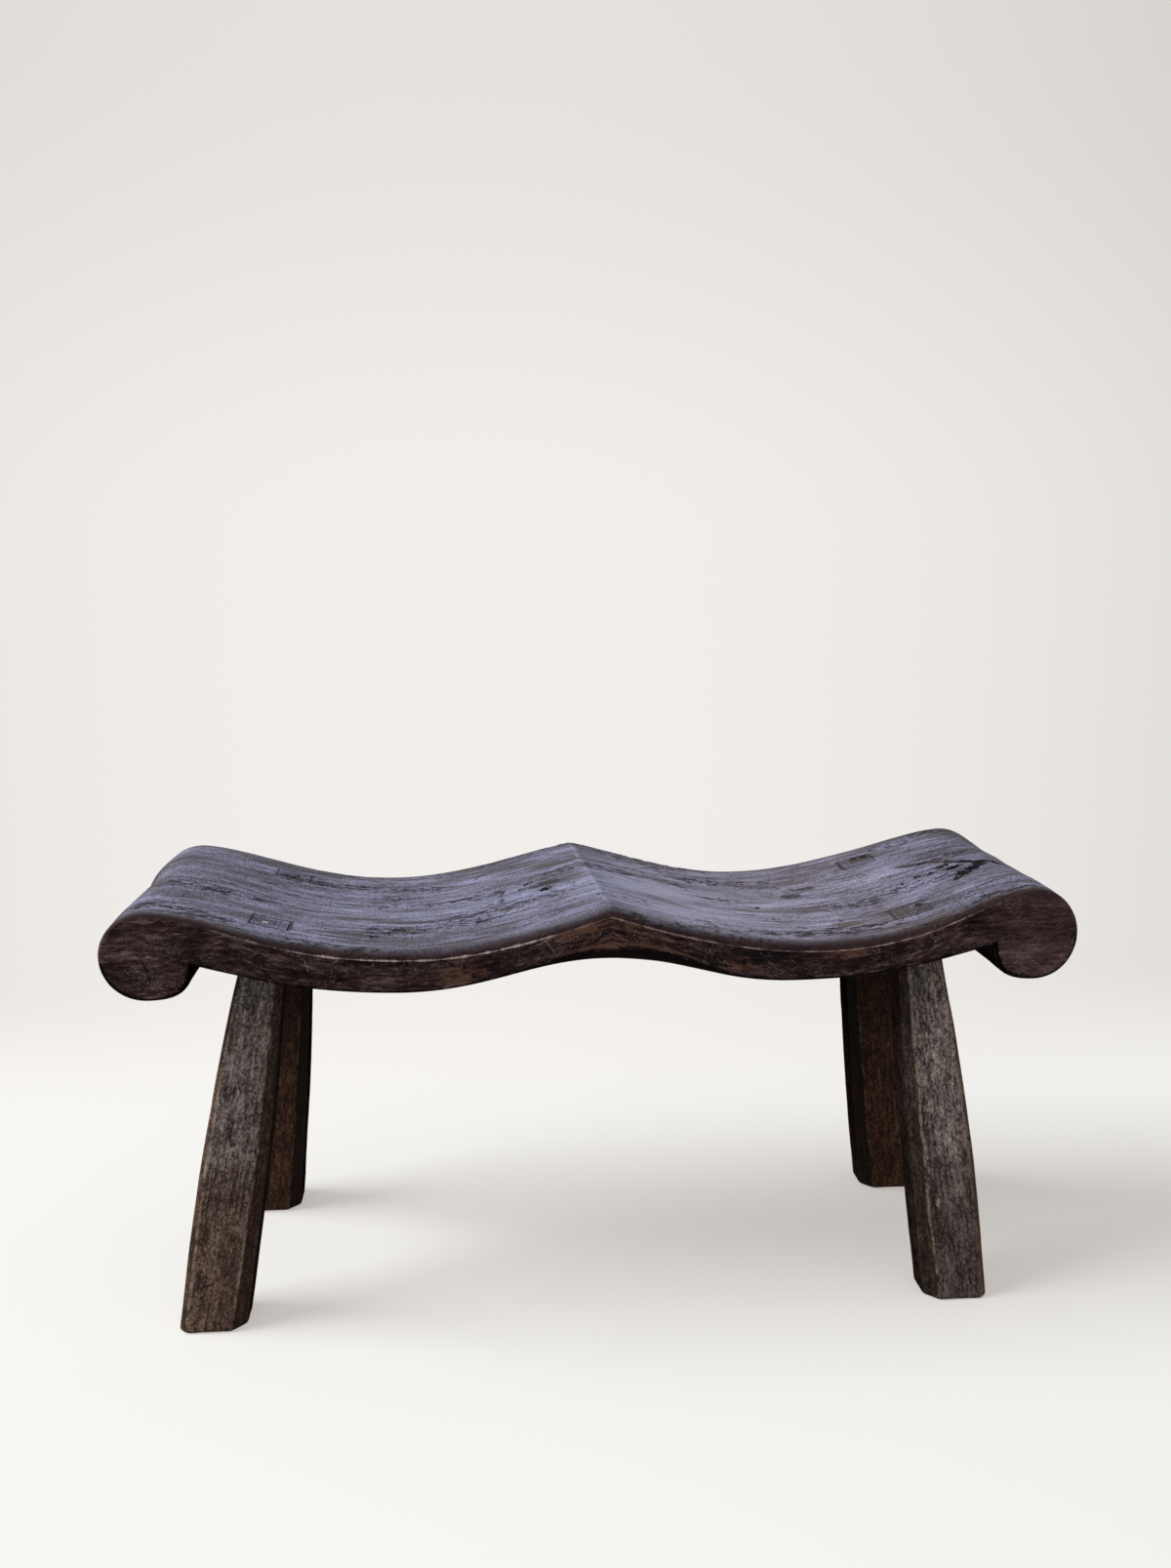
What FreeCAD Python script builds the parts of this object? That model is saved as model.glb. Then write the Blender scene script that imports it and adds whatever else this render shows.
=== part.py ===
"""Saddle bench: one carved seat slab with two hollows and rolled ends, carried on four splayed legs.

Each leg ends in a through tenon, pared flush with the sitting surface. It is locked by a wedge in its kerf,
a second wedge at the inner end of the mortise and a peg driven in from the long edge of the seat.

Millimetres, +Z up, X along the bench, front edge at -Y. The origin is on the floor below the seat's centre.
"""

import FreeCAD
import Part
import math
import os
from FreeCAD import Vector

# Seat slab, overall; its height is taken at the bottom of the hollows
SEAT_LENGTH = 1066.0
SEAT_DEPTH = 346.0
SEAT_HEIGHT = 435.0

# Rolled ends, a little oval, whose bottoms lie below the hollows
ROLL_DROP = 50.0
LEFT_ROLL_WIDTH = 100.0
LEFT_ROLL_HEIGHT = 97.0
RIGHT_ROLL_WIDTH = 96.0
RIGHT_ROLL_HEIGHT = 104.0
ROLL_BLEND_ANGLE = 6.0
NOTCH_ANGLE = 9.0
INNER_FULLNESS = 1.35

# Hollows and ridge, carved a little askew: the front edge towards +X, the rear edge towards -X
HOLLOW_SPACING = 440.0
HOLLOW_SKEW = 20.0
RIDGE_RISE = 43.5
RIDGE_RADIUS = 30.0
RIDGE_SKEW = 11.0
FRONT_RIDGE_SLOPE = 18.0
REAR_RIDGE_SLOPE = 13.0

# Underside of the slab
LEFT_HOLLOW_THICKNESS = 48.0
RIGHT_HOLLOW_THICKNESS = 45.0
RIDGE_THICKNESS = 58.0
BELLY_SPACING = 420.0
NOTCH_SLOPE = 16.0

# How far each curve holds its heading, in shares of its span
ROLL_HOLD = 0.26
FRONT_HOLLOW_HOLD = 0.55
REAR_HOLLOW_HOLD = 0.42
HOLLOW_INNER_HOLD = 0.35
RIDGE_HOLD = 0.3
UNDERSIDE_HOLD = 0.4

# Rounding of the seat's long edges
TOP_EDGE_ROUND = 8.0
ROLL_EDGE_ROUND = 3.0
LOWER_EDGE_ROUND = 3.0

# Legs, hewn square at the seat and eight-sided at the foot; each foot's outer face is below the seat's edge
SHOULDER_ALONG = 2.5
SHOULDER_ACROSS = 5.0
LEG_TOP_CHAMFER = 4.0
FOOT_WIDTH = 74.0
FOOT_DEPTH = 64.0
FOOT_CHAMFER = 12.0
LEG_SWELL = 2.3
LEG_STATIONS = 5

# How much further out along the bench each foot stands than its tenon
FRONT_LEFT_SPLAY = 69.0
FRONT_RIGHT_SPLAY = 54.0
REAR_LEFT_SPLAY = 43.0
REAR_RIGHT_SPLAY = 59.0

# Through tenons, their wedges and their pegs
TENON_FROM_END = 169.0
TENON_FROM_EDGE = 61.0
TENON_LENGTH = 41.0
TENON_WIDTH = 36.0
JOINT_CLEARANCE = 0.2
KERF_OFFSET = 8.5
KERF_WEDGE_THICKNESS = 4.5
END_WEDGE_THICKNESS = 4.0
WEDGE_TIP_THICKNESS = 1.2
WEDGE_DEPTH = 26.0
PEG_DIAMETER = 11.0
PEG_BITE = 6.0
PEG_RECESS = 0.8
PEG_CLEARANCE = 0.1

LEFT, RIGHT = -1, 1
FRONT, REAR = -1, 1
ROLL_SIZES = {
    LEFT: (LEFT_ROLL_WIDTH, LEFT_ROLL_HEIGHT),
    RIGHT: (RIGHT_ROLL_WIDTH, RIGHT_ROLL_HEIGHT),
}
HOLLOW_THICKNESS = {LEFT: LEFT_HOLLOW_THICKNESS, RIGHT: RIGHT_HOLLOW_THICKNESS}
SPLAY = {
    (LEFT, FRONT): FRONT_LEFT_SPLAY,
    (RIGHT, FRONT): FRONT_RIGHT_SPLAY,
    (LEFT, REAR): REAR_LEFT_SPLAY,
    (RIGHT, REAR): REAR_RIGHT_SPLAY,
}
CORNER_NAMES = {
    (LEFT, FRONT): "front_left",
    (RIGHT, FRONT): "front_right",
    (LEFT, REAR): "rear_left",
    (RIGHT, REAR): "rear_right",
}

# A quarter round in two flats: distance in from the face and inset of the outline, in shares of the round
FLAT_SHARE = 1 - math.sqrt(0.5)
QUARTER_ROUND = ((0.0, 1.0), (FLAT_SHARE, FLAT_SHARE), (1.0, 0.0))


def heading(angle):
    """A unit vector in the X-Z plane at an angle in degrees from +X."""
    return Vector(math.cos(math.radians(angle)), 0, math.sin(math.radians(angle)))


def cubic(*poles):
    curve = Part.BezierCurve()
    curve.setPoles(list(poles))
    return curve.toShape()


def flowing_curve(start, leave, end, arrive):
    """A curve between two points; the lengths of its two headings are shares of its span."""
    span = (end - start).Length
    return cubic(start, start + leave * span, end - arrive * span, end)


class Roll:
    """One rolled end, an oval whose angles run in degrees from its tip over its top."""

    def __init__(self, side, inset):
        width, height = ROLL_SIZES[side]
        self.side = side
        self.centre = Vector(side * (SEAT_LENGTH - width) / 2, 0, SEAT_HEIGHT - ROLL_DROP + height / 2)
        self.half_width = width / 2 - inset * ROLL_EDGE_ROUND
        self.half_height = height / 2 - inset * ROLL_EDGE_ROUND
        self.blend = 90 + ROLL_BLEND_ANGLE
        self.notch = -180 + NOTCH_ANGLE

    def offset(self, angle):
        unit = heading(angle)
        return Vector(self.side * self.half_width * unit.x, 0, self.half_height * unit.z)

    def point(self, angle):
        return self.centre + self.offset(angle)

    def travel(self, angle):
        """The oval's heading per radian, towards greater angles."""
        unit = heading(angle + 90)
        return Vector(self.side * self.half_width * unit.x, 0, self.half_height * unit.z)

    def arc(self, first, last, fullness=1.0):
        """Part of the oval; a fullness over 1 swells it towards a square corner."""
        reach = fullness * 4 / 3 * math.tan(math.radians(last - first) / 4)
        start, end = self.point(first), self.point(last)
        return cubic(start, start + self.travel(first) * reach, end - self.travel(last) * reach, end)


class Station:
    """The slab's outline at depth y, drawn in by a share of the edge rounds."""

    def __init__(self, y, inset):
        self.y = y
        self.inset = inset
        self.skew = -2 * y / SEAT_DEPTH
        self.left_roll = Roll(LEFT, inset)
        self.right_roll = Roll(RIGHT, inset)

    def askew(self, front, rear):
        """A value that changes evenly from the front edge to the rear edge."""
        return (front + rear + self.skew * (front - rear)) / 2

    def sitting_line(self):
        """Edges from the left tip over both hollows and the ridge to the right tip."""
        floor = SEAT_HEIGHT - self.inset * TOP_EDGE_ROUND
        hollow = {
            side: Vector(side * HOLLOW_SPACING / 2 + self.skew * HOLLOW_SKEW, 0, floor)
            for side in (LEFT, RIGHT)
        }
        slope = self.askew(FRONT_RIDGE_SLOPE, REAR_RIDGE_SLOPE)
        crest = Vector(self.skew * RIDGE_SKEW, 0, floor + RIDGE_RISE)
        crest_centre = crest - Vector(0, 0, RIDGE_RADIUS)
        flank = {side: crest_centre + heading(90 - side * slope) * RIDGE_RADIUS for side in (LEFT, RIGHT)}

        left_roll, right_roll = self.left_roll, self.right_roll
        left_blend, right_blend = left_roll.point(left_roll.blend), right_roll.point(right_roll.blend)
        leave_roll = left_roll.travel(left_roll.blend).normalize() * ROLL_HOLD
        reach_roll = right_roll.travel(right_roll.blend).normalize() * -ROLL_HOLD
        outer_hold = heading(0) * self.askew(FRONT_HOLLOW_HOLD, REAR_HOLLOW_HOLD)
        inner_hold = heading(0) * HOLLOW_INNER_HOLD
        return [
            left_roll.arc(0, left_roll.blend),
            flowing_curve(left_blend, leave_roll, hollow[LEFT], outer_hold),
            flowing_curve(hollow[LEFT], inner_hold, flank[LEFT], heading(slope) * RIDGE_HOLD),
            Part.Arc(flank[LEFT], crest, flank[RIGHT]).toShape(),
            flowing_curve(flank[RIGHT], heading(-slope) * RIDGE_HOLD, hollow[RIGHT], inner_hold),
            flowing_curve(hollow[RIGHT], outer_hold, right_blend, reach_roll),
            right_roll.arc(right_roll.blend, 0),
        ]

    def underside_line(self):
        """Edges from the right tip under both bellies and the arch to the left tip."""
        lift = self.inset * LOWER_EDGE_ROUND
        belly = {
            side: Vector(side * BELLY_SPACING / 2, 0, SEAT_HEIGHT - HOLLOW_THICKNESS[side] + lift)
            for side in (LEFT, RIGHT)
        }
        arch = Vector(self.skew * RIDGE_SKEW, 0, SEAT_HEIGHT + RIDGE_RISE - RIDGE_THICKNESS + lift)
        left_roll, right_roll = self.left_roll, self.right_roll
        leave_notch = heading(180 + NOTCH_SLOPE) * UNDERSIDE_HOLD
        reach_notch = heading(180 - NOTCH_SLOPE) * UNDERSIDE_HOLD
        level = heading(180) * UNDERSIDE_HOLD
        return [
            right_roll.arc(0, -90),
            right_roll.arc(-90, right_roll.notch, INNER_FULLNESS),
            flowing_curve(right_roll.point(right_roll.notch), leave_notch, belly[RIGHT], level),
            flowing_curve(belly[RIGHT], level, arch, level),
            flowing_curve(arch, level, belly[LEFT], level),
            flowing_curve(belly[LEFT], level, left_roll.point(left_roll.notch), reach_notch),
            left_roll.arc(left_roll.notch, -90, INNER_FULLNESS),
            left_roll.arc(-90, 0),
        ]

    def line_over(self):
        """Straight edges from the right tip up, across well above the bench and down to the left tip."""
        right_tip, left_tip = self.right_roll.point(0), self.left_roll.point(0)
        up = Vector(0, 0, SEAT_HEIGHT)
        points = [right_tip, right_tip + up, left_tip + up, left_tip]
        return [Part.makeLine(start, end) for start, end in zip(points, points[1:])]

    def outline(self, *lines):
        """A closed wire at the station's depth."""
        wire = Part.Wire([edge for line in lines for edge in line])
        wire.translate(Vector(0, self.y, 0))
        return wire


def seat_stations():
    """Stations from the front edge to the rear edge, through the rounds of both."""
    front = [(-SEAT_DEPTH / 2 + share * TOP_EDGE_ROUND, inset) for share, inset in QUARTER_ROUND]
    rear = [(-y, inset) for y, inset in reversed(front)]
    return [Station(y, inset) for y, inset in front + rear]


def make_slab():
    """The carved slab before any mortise is cut."""
    outlines = [at.outline(at.sitting_line(), at.underside_line()) for at in seat_stations()]
    return Part.makeLoft(outlines, True, True)


def make_room_above():
    """The space above the sitting surface, which pares flush whatever stands proud of it."""
    outlines = [at.outline(at.sitting_line(), at.line_over()) for at in seat_stations()]
    return Part.makeLoft(outlines, True, True)


def slab_span(slab, x, y):
    """Heights of the slab's underside and top at a plan position."""
    probe = Part.makeLine(Vector(x, y, 0), Vector(x, y, 2 * SEAT_HEIGHT))
    box = slab.common(probe).BoundBox
    return box.ZMin, box.ZMax


def polygon(centre, corners):
    """A level closed polygon from its corners' offsets."""
    points = [centre + Vector(x, y, 0) for x, y in corners]
    return Part.makePolygon(points + points[:1])


def rectangle(centre, length, width):
    """A level rectangle, length along X and width along Y."""
    a, b = length / 2, width / 2
    return polygon(centre, [(-a, -b), (a, -b), (a, b), (-a, b)])


def octagon(centre, width, depth, chamfer):
    """A level rectangle with its corners cut off."""
    a, b, c = width / 2, depth / 2, chamfer
    corners = [
        (c - a, -b), (a - c, -b), (a, c - b), (a, b - c),
        (a - c, b), (c - a, b), (-a, b - c), (-a, c - b),
    ]
    return polygon(centre, corners)


class Corner:
    """The joint at one corner of the bench: a leg, its two wedges and its peg."""

    def __init__(self, slab, room_above, side, end):
        self.slab = slab
        self.room_above = room_above
        self.side = side
        self.end = end
        seat_x = SEAT_LENGTH / 2 - TENON_FROM_END
        seat_y = SEAT_DEPTH / 2 - TENON_FROM_EDGE
        self.seat = Vector(side * seat_x, end * seat_y, SEAT_HEIGHT)
        self.foot = Vector(side * (seat_x + SPLAY[side, end]), end * (SEAT_DEPTH - FOOT_DEPTH) / 2, 0)
        self.under, self.top = slab_span(slab, self.seat.x, self.seat.y)
        self.middle = (self.under + self.top) / 2
        self.below = 2 * self.under - self.top
        self.above = 2 * self.top - self.under

    def axis(self, z):
        """The leg's axis at height z."""
        return self.foot + (self.seat - self.foot) * (z / self.seat.z)

    def prism(self, low, high, low_size, high_size, offset=0.0):
        """A four-sided prism along the axis, moved along X towards the bench's middle by the offset."""
        shift = Vector(-self.side * offset, 0, 0)
        sections = [
            rectangle(self.axis(z) + shift, *size) for z, size in ((low, low_size), (high, high_size))
        ]
        return Part.makeLoft(sections, True, True)

    def make_stock(self):
        """The hewn leg, swelling downwards, run on up into the slab."""
        top_width = TENON_LENGTH + 2 * SHOULDER_ALONG
        top_depth = TENON_WIDTH + 2 * SHOULDER_ACROSS
        sections = []
        for station in range(LEG_STATIONS):
            fall = station / (LEG_STATIONS - 1)
            swell = 1 - (1 - fall) ** LEG_SWELL
            sections.append(octagon(
                self.axis(self.middle * (1 - fall)),
                top_width + (FOOT_WIDTH - top_width) * swell,
                top_depth + (FOOT_DEPTH - top_depth) * swell,
                LEG_TOP_CHAMFER + (FOOT_CHAMFER - LEG_TOP_CHAMFER) * fall,
            ))
        return Part.makeLoft(sections, True, True)

    def make_tenon(self):
        size = (TENON_LENGTH, TENON_WIDTH)
        return self.prism(self.below, self.above, size, size).cut(self.room_above)

    def make_mortise(self):
        size = (TENON_LENGTH + 2 * JOINT_CLEARANCE, TENON_WIDTH + 2 * JOINT_CLEARANCE)
        return self.prism(self.below, self.above, size, size)

    def make_wedge(self, thickness, offset):
        """A wedge as wide as the tenon, thin at its tip and flush with the sitting surface."""
        taper = (thickness - WEDGE_TIP_THICKNESS) / WEDGE_DEPTH
        head = thickness + taper * (self.above - self.top)
        tip_size, head_size = (WEDGE_TIP_THICKNESS, TENON_WIDTH), (head, TENON_WIDTH)
        wedge = self.prism(self.top - WEDGE_DEPTH, self.above, tip_size, head_size, offset)
        return wedge.cut(self.room_above)

    def peg_along(self, radius, start, length):
        """A cylinder on the peg's line, from a distance inside the seat's long edge."""
        inward = Vector(0, -self.end, 0)
        mouth = Vector(self.axis(self.middle).x, self.end * SEAT_DEPTH / 2, self.middle)
        return Part.makeCylinder(radius, length, mouth + inward * start, inward)

    def pieces(self):
        """The corner's solids by name, and what is cut out of the slab for them."""
        mortise = self.make_mortise()
        kerf_wedge = self.make_wedge(KERF_WEDGE_THICKNESS, KERF_OFFSET)
        mortise_end = TENON_LENGTH / 2 + JOINT_CLEARANCE
        end_wedge = self.make_wedge(2 * END_WEDGE_THICKNESS, mortise_end).cut(mortise)
        hole_depth = TENON_FROM_EDGE + TENON_WIDTH / 2 + PEG_BITE
        peg = self.peg_along(PEG_DIAMETER / 2, PEG_RECESS, hole_depth - PEG_RECESS)
        peg_hole = self.peg_along(PEG_DIAMETER / 2 + PEG_CLEARANCE, 0, hole_depth)
        leg = self.make_stock().cut(self.slab).fuse(self.make_tenon()).removeSplitter()
        solids = {
            "leg": leg.cut(kerf_wedge).cut(peg_hole),
            "kerf_wedge": kerf_wedge.cut(peg_hole),
            "end_wedge": end_wedge.cut(peg_hole),
            "peg": peg,
        }
        return solids, [mortise, end_wedge, peg_hole]


def make_bench():
    """Every piece of the bench by its node's name."""
    slab = make_slab()
    room_above = make_room_above()
    bench = {}
    seat = slab
    for (side, end), corner_name in CORNER_NAMES.items():
        solids, cuts = Corner(slab, room_above, side, end).pieces()
        for cut in cuts:
            seat = seat.cut(cut)
        for name, shape in solids.items():
            bench[f"{name}_{corner_name}"] = shape
    bench["seat"] = seat
    return bench


def main():
    os.makedirs("parts", exist_ok=True)
    for name, shape in make_bench().items():
        (solid,) = shape.Solids
        solid.exportStep(f"parts/{name}.step")


main()
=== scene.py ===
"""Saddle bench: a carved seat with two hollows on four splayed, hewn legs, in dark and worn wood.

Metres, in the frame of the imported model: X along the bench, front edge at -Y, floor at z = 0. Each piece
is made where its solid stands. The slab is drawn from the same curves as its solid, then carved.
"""

import math

import bpy
import numpy as np
from bpy.props import FloatProperty, FloatVectorProperty, IntProperty, PointerProperty
from mathutils import Matrix, Vector
from mathutils.geometry import delaunay_2d_cdt
from mathutils.kdtree import KDTree


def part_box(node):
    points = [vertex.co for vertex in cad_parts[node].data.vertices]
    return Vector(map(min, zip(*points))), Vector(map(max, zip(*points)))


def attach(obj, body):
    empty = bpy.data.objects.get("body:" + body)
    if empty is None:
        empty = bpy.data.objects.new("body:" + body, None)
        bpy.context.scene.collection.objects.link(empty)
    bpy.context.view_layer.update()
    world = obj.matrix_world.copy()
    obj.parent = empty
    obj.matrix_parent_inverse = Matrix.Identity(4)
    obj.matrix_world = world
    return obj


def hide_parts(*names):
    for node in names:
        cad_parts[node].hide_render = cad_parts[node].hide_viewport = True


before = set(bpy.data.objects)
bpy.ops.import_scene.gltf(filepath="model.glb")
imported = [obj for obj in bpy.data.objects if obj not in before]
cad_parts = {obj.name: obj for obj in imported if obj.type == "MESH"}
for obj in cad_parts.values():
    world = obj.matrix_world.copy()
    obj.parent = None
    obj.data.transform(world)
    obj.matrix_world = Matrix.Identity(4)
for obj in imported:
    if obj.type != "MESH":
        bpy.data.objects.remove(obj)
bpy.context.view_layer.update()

bl_info = {
    "name": "Saddle Bench",
    "version": (1, 0, 0),
    "blender": (4, 5, 0),
    "location": "View3D > Sidebar > Bench",
    "description": "Carves, hews and joins a two-seat saddle bench in dark, worn wood",
    "category": "Object",
}

LEFT, RIGHT = -1, 1
FRONT, REAR = -1, 1
CORNERS = ("front_left", "front_right", "rear_left", "rear_right")

# The slab's curves, as on its solid
SEAT_LOW, SEAT_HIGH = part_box("seat")
SEAT_LENGTH = SEAT_HIGH.x - SEAT_LOW.x
SEAT_DEPTH = SEAT_HIGH.y - SEAT_LOW.y
ROLL_DROP = 0.050
SEAT_HEIGHT = SEAT_LOW.z + ROLL_DROP
ROLL_SIZES = {LEFT: (0.100, 0.097), RIGHT: (0.096, 0.104)}
ROLL_BLEND = 96.0
ROLL_NOTCH = -171.0
INNER_FULLNESS = 1.35
HOLLOW_SPACING = 0.440
HOLLOW_SKEW = 0.020
RIDGE_RISE = 0.0435
RIDGE_SKEW = 0.011
RIDGE_SLOPES = (18.0, 13.0)
HOLLOW_THICKNESS = {LEFT: 0.048, RIGHT: 0.045}
RIDGE_THICKNESS = 0.058
BELLY_SPACING = 0.420
NOTCH_SLOPE = 16.0
ROLL_HOLD = 0.26
OUTER_HOLDS = (0.55, 0.42)
INNER_HOLD = 0.35
RIDGE_HOLD = 0.3
UNDERSIDE_HOLD = 0.4
ROLL_EDGE_ROUND = 0.003
LOWER_EDGE_ROUND = 0.003

# How finely the slab is meshed: points along each curve of its outline, and rows from front to rear
TOP_COUNTS = (34, 76, 70, 8, 70, 76, 34)
UNDER_COUNTS = (22, 18, 30, 26, 26, 30, 18, 22)
EDGE_ROWS = 8
MIDDLE_ROWS = 126
# Rows crowd towards the arris by the first power, and the worn round falls away by the second
EDGE_CROWDING = 1.3
EDGE_FALL = 1.9
# Points within the long faces: their spacing, the share of it kept free along the outline, and their weld
FACE_SPACING = 0.005
FACE_CLEARANCE = 0.55
FACE_WELD = 1e-9
# How far down the long faces still count as crown, and how far in the shoulders lie, in roll widths
CROWN_DEPTH = 0.03
SHOULDER_SHARE = 1.3
# Points that are the same to this many digits of a metre become one after carving
MERGE_DIGITS = 6

# Edges sharper than this stay sharp
SHARP_ANGLE = math.radians(32)
# What the slab's points are marked with for carving and finishing
SEAT_MARKS = ("arris", "crown", "drop", "gouge", "crack_aside", "crack_way", "warm", "lower")

# Legs and joints, as on their solids
FOOT_WIDTH = 0.074
FOOT_DEPTH = 0.064
LEG_TOP_WIDTH = 0.046
LEG_TOP_DEPTH = 0.046
LEG_TOP_CHAMFER = 0.004
LEG_SWELL = 2.3
LEG_PATTERN_STEP = 1.7
# Hewing: how crisp the flats meet, how rows crowd towards the foot, and tool marks in a metre
LEG_CRISPNESS = 40.0
LEG_CROWDING = 1.25
HEWN_FACETS = (22.0, 22.0, 11.0)
HEWN_RIPPLES = (90.0, 90.0, 14.0)
HEWN_NICKS = 75.0
LEG_WELD = 0.00005
TENON_LENGTH = 0.041
TENON_WIDTH = 0.036
TENON_ROOT = 0.030
KERF_OFFSET = 0.0085
KERF_WEDGE_THICKNESS = 0.0045
END_WEDGE_THICKNESS = 0.004
WEDGE_TIP_THICKNESS = 0.0012
WEDGE_DEPTH = 0.026
WEDGE_SPARE = 0.030
PEG_HOLE_SIDES = 24
PEG_SIDES = 28
PEG_ROWS = 24
PEG_RINGS = 5
PEG_WHITTLE = 0.0003

# The long crack over the right roll, in plan: it opens as a worn trough and runs out as a thin line
CRACK = (
    (0.392, 0.043), (0.4095, 0.032), (0.426, 0.026), (0.437, 0.018), (0.450, 0.000),
    (0.468, -0.017), (0.490, -0.030), (0.502, -0.043), (0.508, -0.072), (0.511, -0.095),
)
CRACK_HALF_WIDTH = 0.0038
CRACK_DEPTH = 0.0030
# Splintered chips beside it and single pits, in plan: centre, half sizes along and across the grain, depth
CHIPS = (
    (0.4705, -0.032, 0.0075, 0.0080, 0.0024),
    (0.4590, -0.042, 0.0090, 0.0080, 0.0026),
    (0.4460, -0.051, 0.0090, 0.0085, 0.0024),
    (0.4320, -0.062, 0.0080, 0.0065, 0.0018),
    (0.4340, -0.006, 0.0110, 0.0060, 0.0018),
    (0.4420, -0.021, 0.0110, 0.0065, 0.0020),
    (0.4160, -0.017, 0.0080, 0.0055, 0.0014),
    (0.4020, -0.013, 0.0080, 0.0055, 0.0012),
    (0.4110, -0.040, 0.0090, 0.0055, 0.0012),
    (0.3810, -0.022, 0.0070, 0.0050, 0.0010),
    (-0.051, -0.023, 0.010, 0.006, 0.0016),
    (-0.072, 0.021, 0.008, 0.005, 0.0014),
    (0.201, -0.026, 0.008, 0.005, 0.0012),
    (-0.246, -0.115, 0.008, 0.005, 0.0010),
    (-0.132, -0.088, 0.006, 0.005, 0.0010),
)
# Patches worn through the patina, in plan: centre, half sizes, and how dark, from tan at 0 to brown at 1
WORN_PATCHES = (
    (0.354, -0.106, 0.014, 0.018, 0.1),
    (0.374, -0.103, 0.0075, 0.010, 1.0),
    (0.366, 0.120, 0.018, 0.016, 0.4),
    (0.3605, 0.125, 0.0060, 0.009, 1.0),
    (0.3735, 0.121, 0.0075, 0.010, 1.0),
    (0.290, -0.112, 0.020, 0.012, 0.2),
    (0.274, 0.047, 0.024, 0.011, 0.7),
    (0.255, 0.023, 0.020, 0.012, 0.9),
    (-0.372, 0.102, 0.017, 0.009, 1.0),
    (-0.050, -0.003, 0.030, 0.014, 0.9),
)
# Warm patches on the long faces: centre along and up, half sizes, and strength
WARM_PATCHES = (
    (-0.144, 0.407, 0.040, 0.020, 0.9),
    (0.005, 0.448, 0.080, 0.024, 1.0),
    (0.150, 0.412, 0.030, 0.014, 0.8),
    (0.270, 0.430, 0.050, 0.020, 0.8),
    (-0.440, 0.405, 0.040, 0.016, 0.5),
    (0.080, 0.448, 0.030, 0.010, 0.9),
)
# Checks and scratches on the front face, along and up: both ends, half width
CHECKS = (
    ((-0.487, 0.434), (-0.477, 0.406), 0.0010),
    ((-0.466, 0.406), (-0.458, 0.390), 0.0009),
)
SCRATCHES = (
    ((-0.066, 0.450), (-0.050, 0.431), 0.0006),
    ((-0.072, 0.438), (-0.054, 0.446), 0.0006),
    ((0.068, 0.436), (0.080, 0.424), 0.0004),
    ((-0.318, 0.430), (-0.313, 0.414), 0.0005),
    ((-0.321, 0.424), (-0.309, 0.419), 0.0004),
)
# Places where the sitting surface is painted lighter or darker as its sheen falls: centre, half sizes, and
# how much
SHEEN_PLACES = (
    (-0.060, -0.055, 0.460, 0.110, 0.065, 0.22),
    (0.130, -0.020, 0.450, 0.200, 0.240, 0.29),
    (0.065, -0.030, 0.455, 0.110, 0.150, 0.30),
    (-0.290, 0.000, 0.440, 0.150, 0.140, 0.14),
    (0.480, 0.020, 0.480, 0.140, 0.250, -0.16),
)
# Places where the patina is rubbed down to brown along the grain: centre, half sizes, and how much
BROWN_PLACES = (
    (-0.035, 0.085, 0.470, 0.085, 0.060, 0.85),
    (-0.030, 0.010, 0.470, 0.060, 0.030, 0.60),
    (-0.110, 0.130, 0.450, 0.080, 0.035, 0.50),
    (-0.480, 0.000, 0.470, 0.060, 0.120, 0.15),
    (0.470, 0.130, 0.480, 0.070, 0.060, 0.35),
)
# How the patina over the right hollow is warmer than over the left
RIGHT_WARMTH = (1.10, 1.04, 0.97)
# How the rear legs are warmer than the front ones
REAR_WARMTH = (1.08, 0.86, 0.74)
# How dark the seams round the tenons have become, in the order of the corners
JOINT_STAINS = (0.80, 0.30, 0.45, 0.70)
KNOT = (0.125, 0.418)
KNOT_SIZE = 0.016
# The pale chips on the front left tenon and on the front right leg
TENON_CHIP = (-0.3660, -0.1130, 0.454)
TENON_CHIP_SIZE = (0.0065, 0.0055, 0.03)
LEG_CHIP = (0.392, -0.165, 0.1185)
LEG_CHIP_SIZE = (0.005, 0.03, 0.013)

# Swellings of the rolls' tips, as hewn: depth, reach along the roll, and height
ROLL_SWELLS = {
    LEFT: ((0.110, 0.050, 0.0045), (0.016, 0.045, -0.0035), (-0.110, 0.060, 0.0015)),
    RIGHT: ((-0.110, 0.090, 0.0050), (0.020, 0.030, 0.0020), (0.165, 0.080, 0.0085)),
}

# Noise over the finishes, in waves in a metre along X, Y and Z, and its roughness
RAGGED_WAVES = (110.0, 75.0, 40.0)
FLECK_WAVES = (75.0, 300.0, 60.0)
SPLINTER_WAVES = (210.0, 120.0, 60.0)
WRINKLE_CELLS = (230.0, 230.0, 150.0)
GRAIN_ROUGHNESS = 0.62
# How far the grain of the sitting surface sways from side to side
GRAIN_SWAY = 0.045
# How far patches of the sitting surface reach up and down, and how far worn ones run out past their sizes
PATCH_HEIGHT = 0.200
PATCH_SPREAD = 1.7
# Worn patches with shorter half lengths than this have calmer outlines
FULL_FRAY = 0.020
# Heights of the finest relief on the seat, the legs, the wedges and the pegs
SEAT_RELIEF = 0.0018
LEG_RELIEF = 0.0020
WEDGE_RELIEF = 0.0012
PEG_RELIEF = 0.0006
FLOOR_SIDES = 96

# The camera that took the view
CAMERA_PLACE = Vector((-0.1363, -1.5937, 0.8626))
CAMERA_YAW = math.radians(-4.790)
CAMERA_PITCH = math.radians(90 - 9.857)
CAMERA_ROLL = math.radians(0.089)
IMAGE_HEIGHT = 1607
FOCAL_PIXELS = 1400
SENSOR = 36.0


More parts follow.
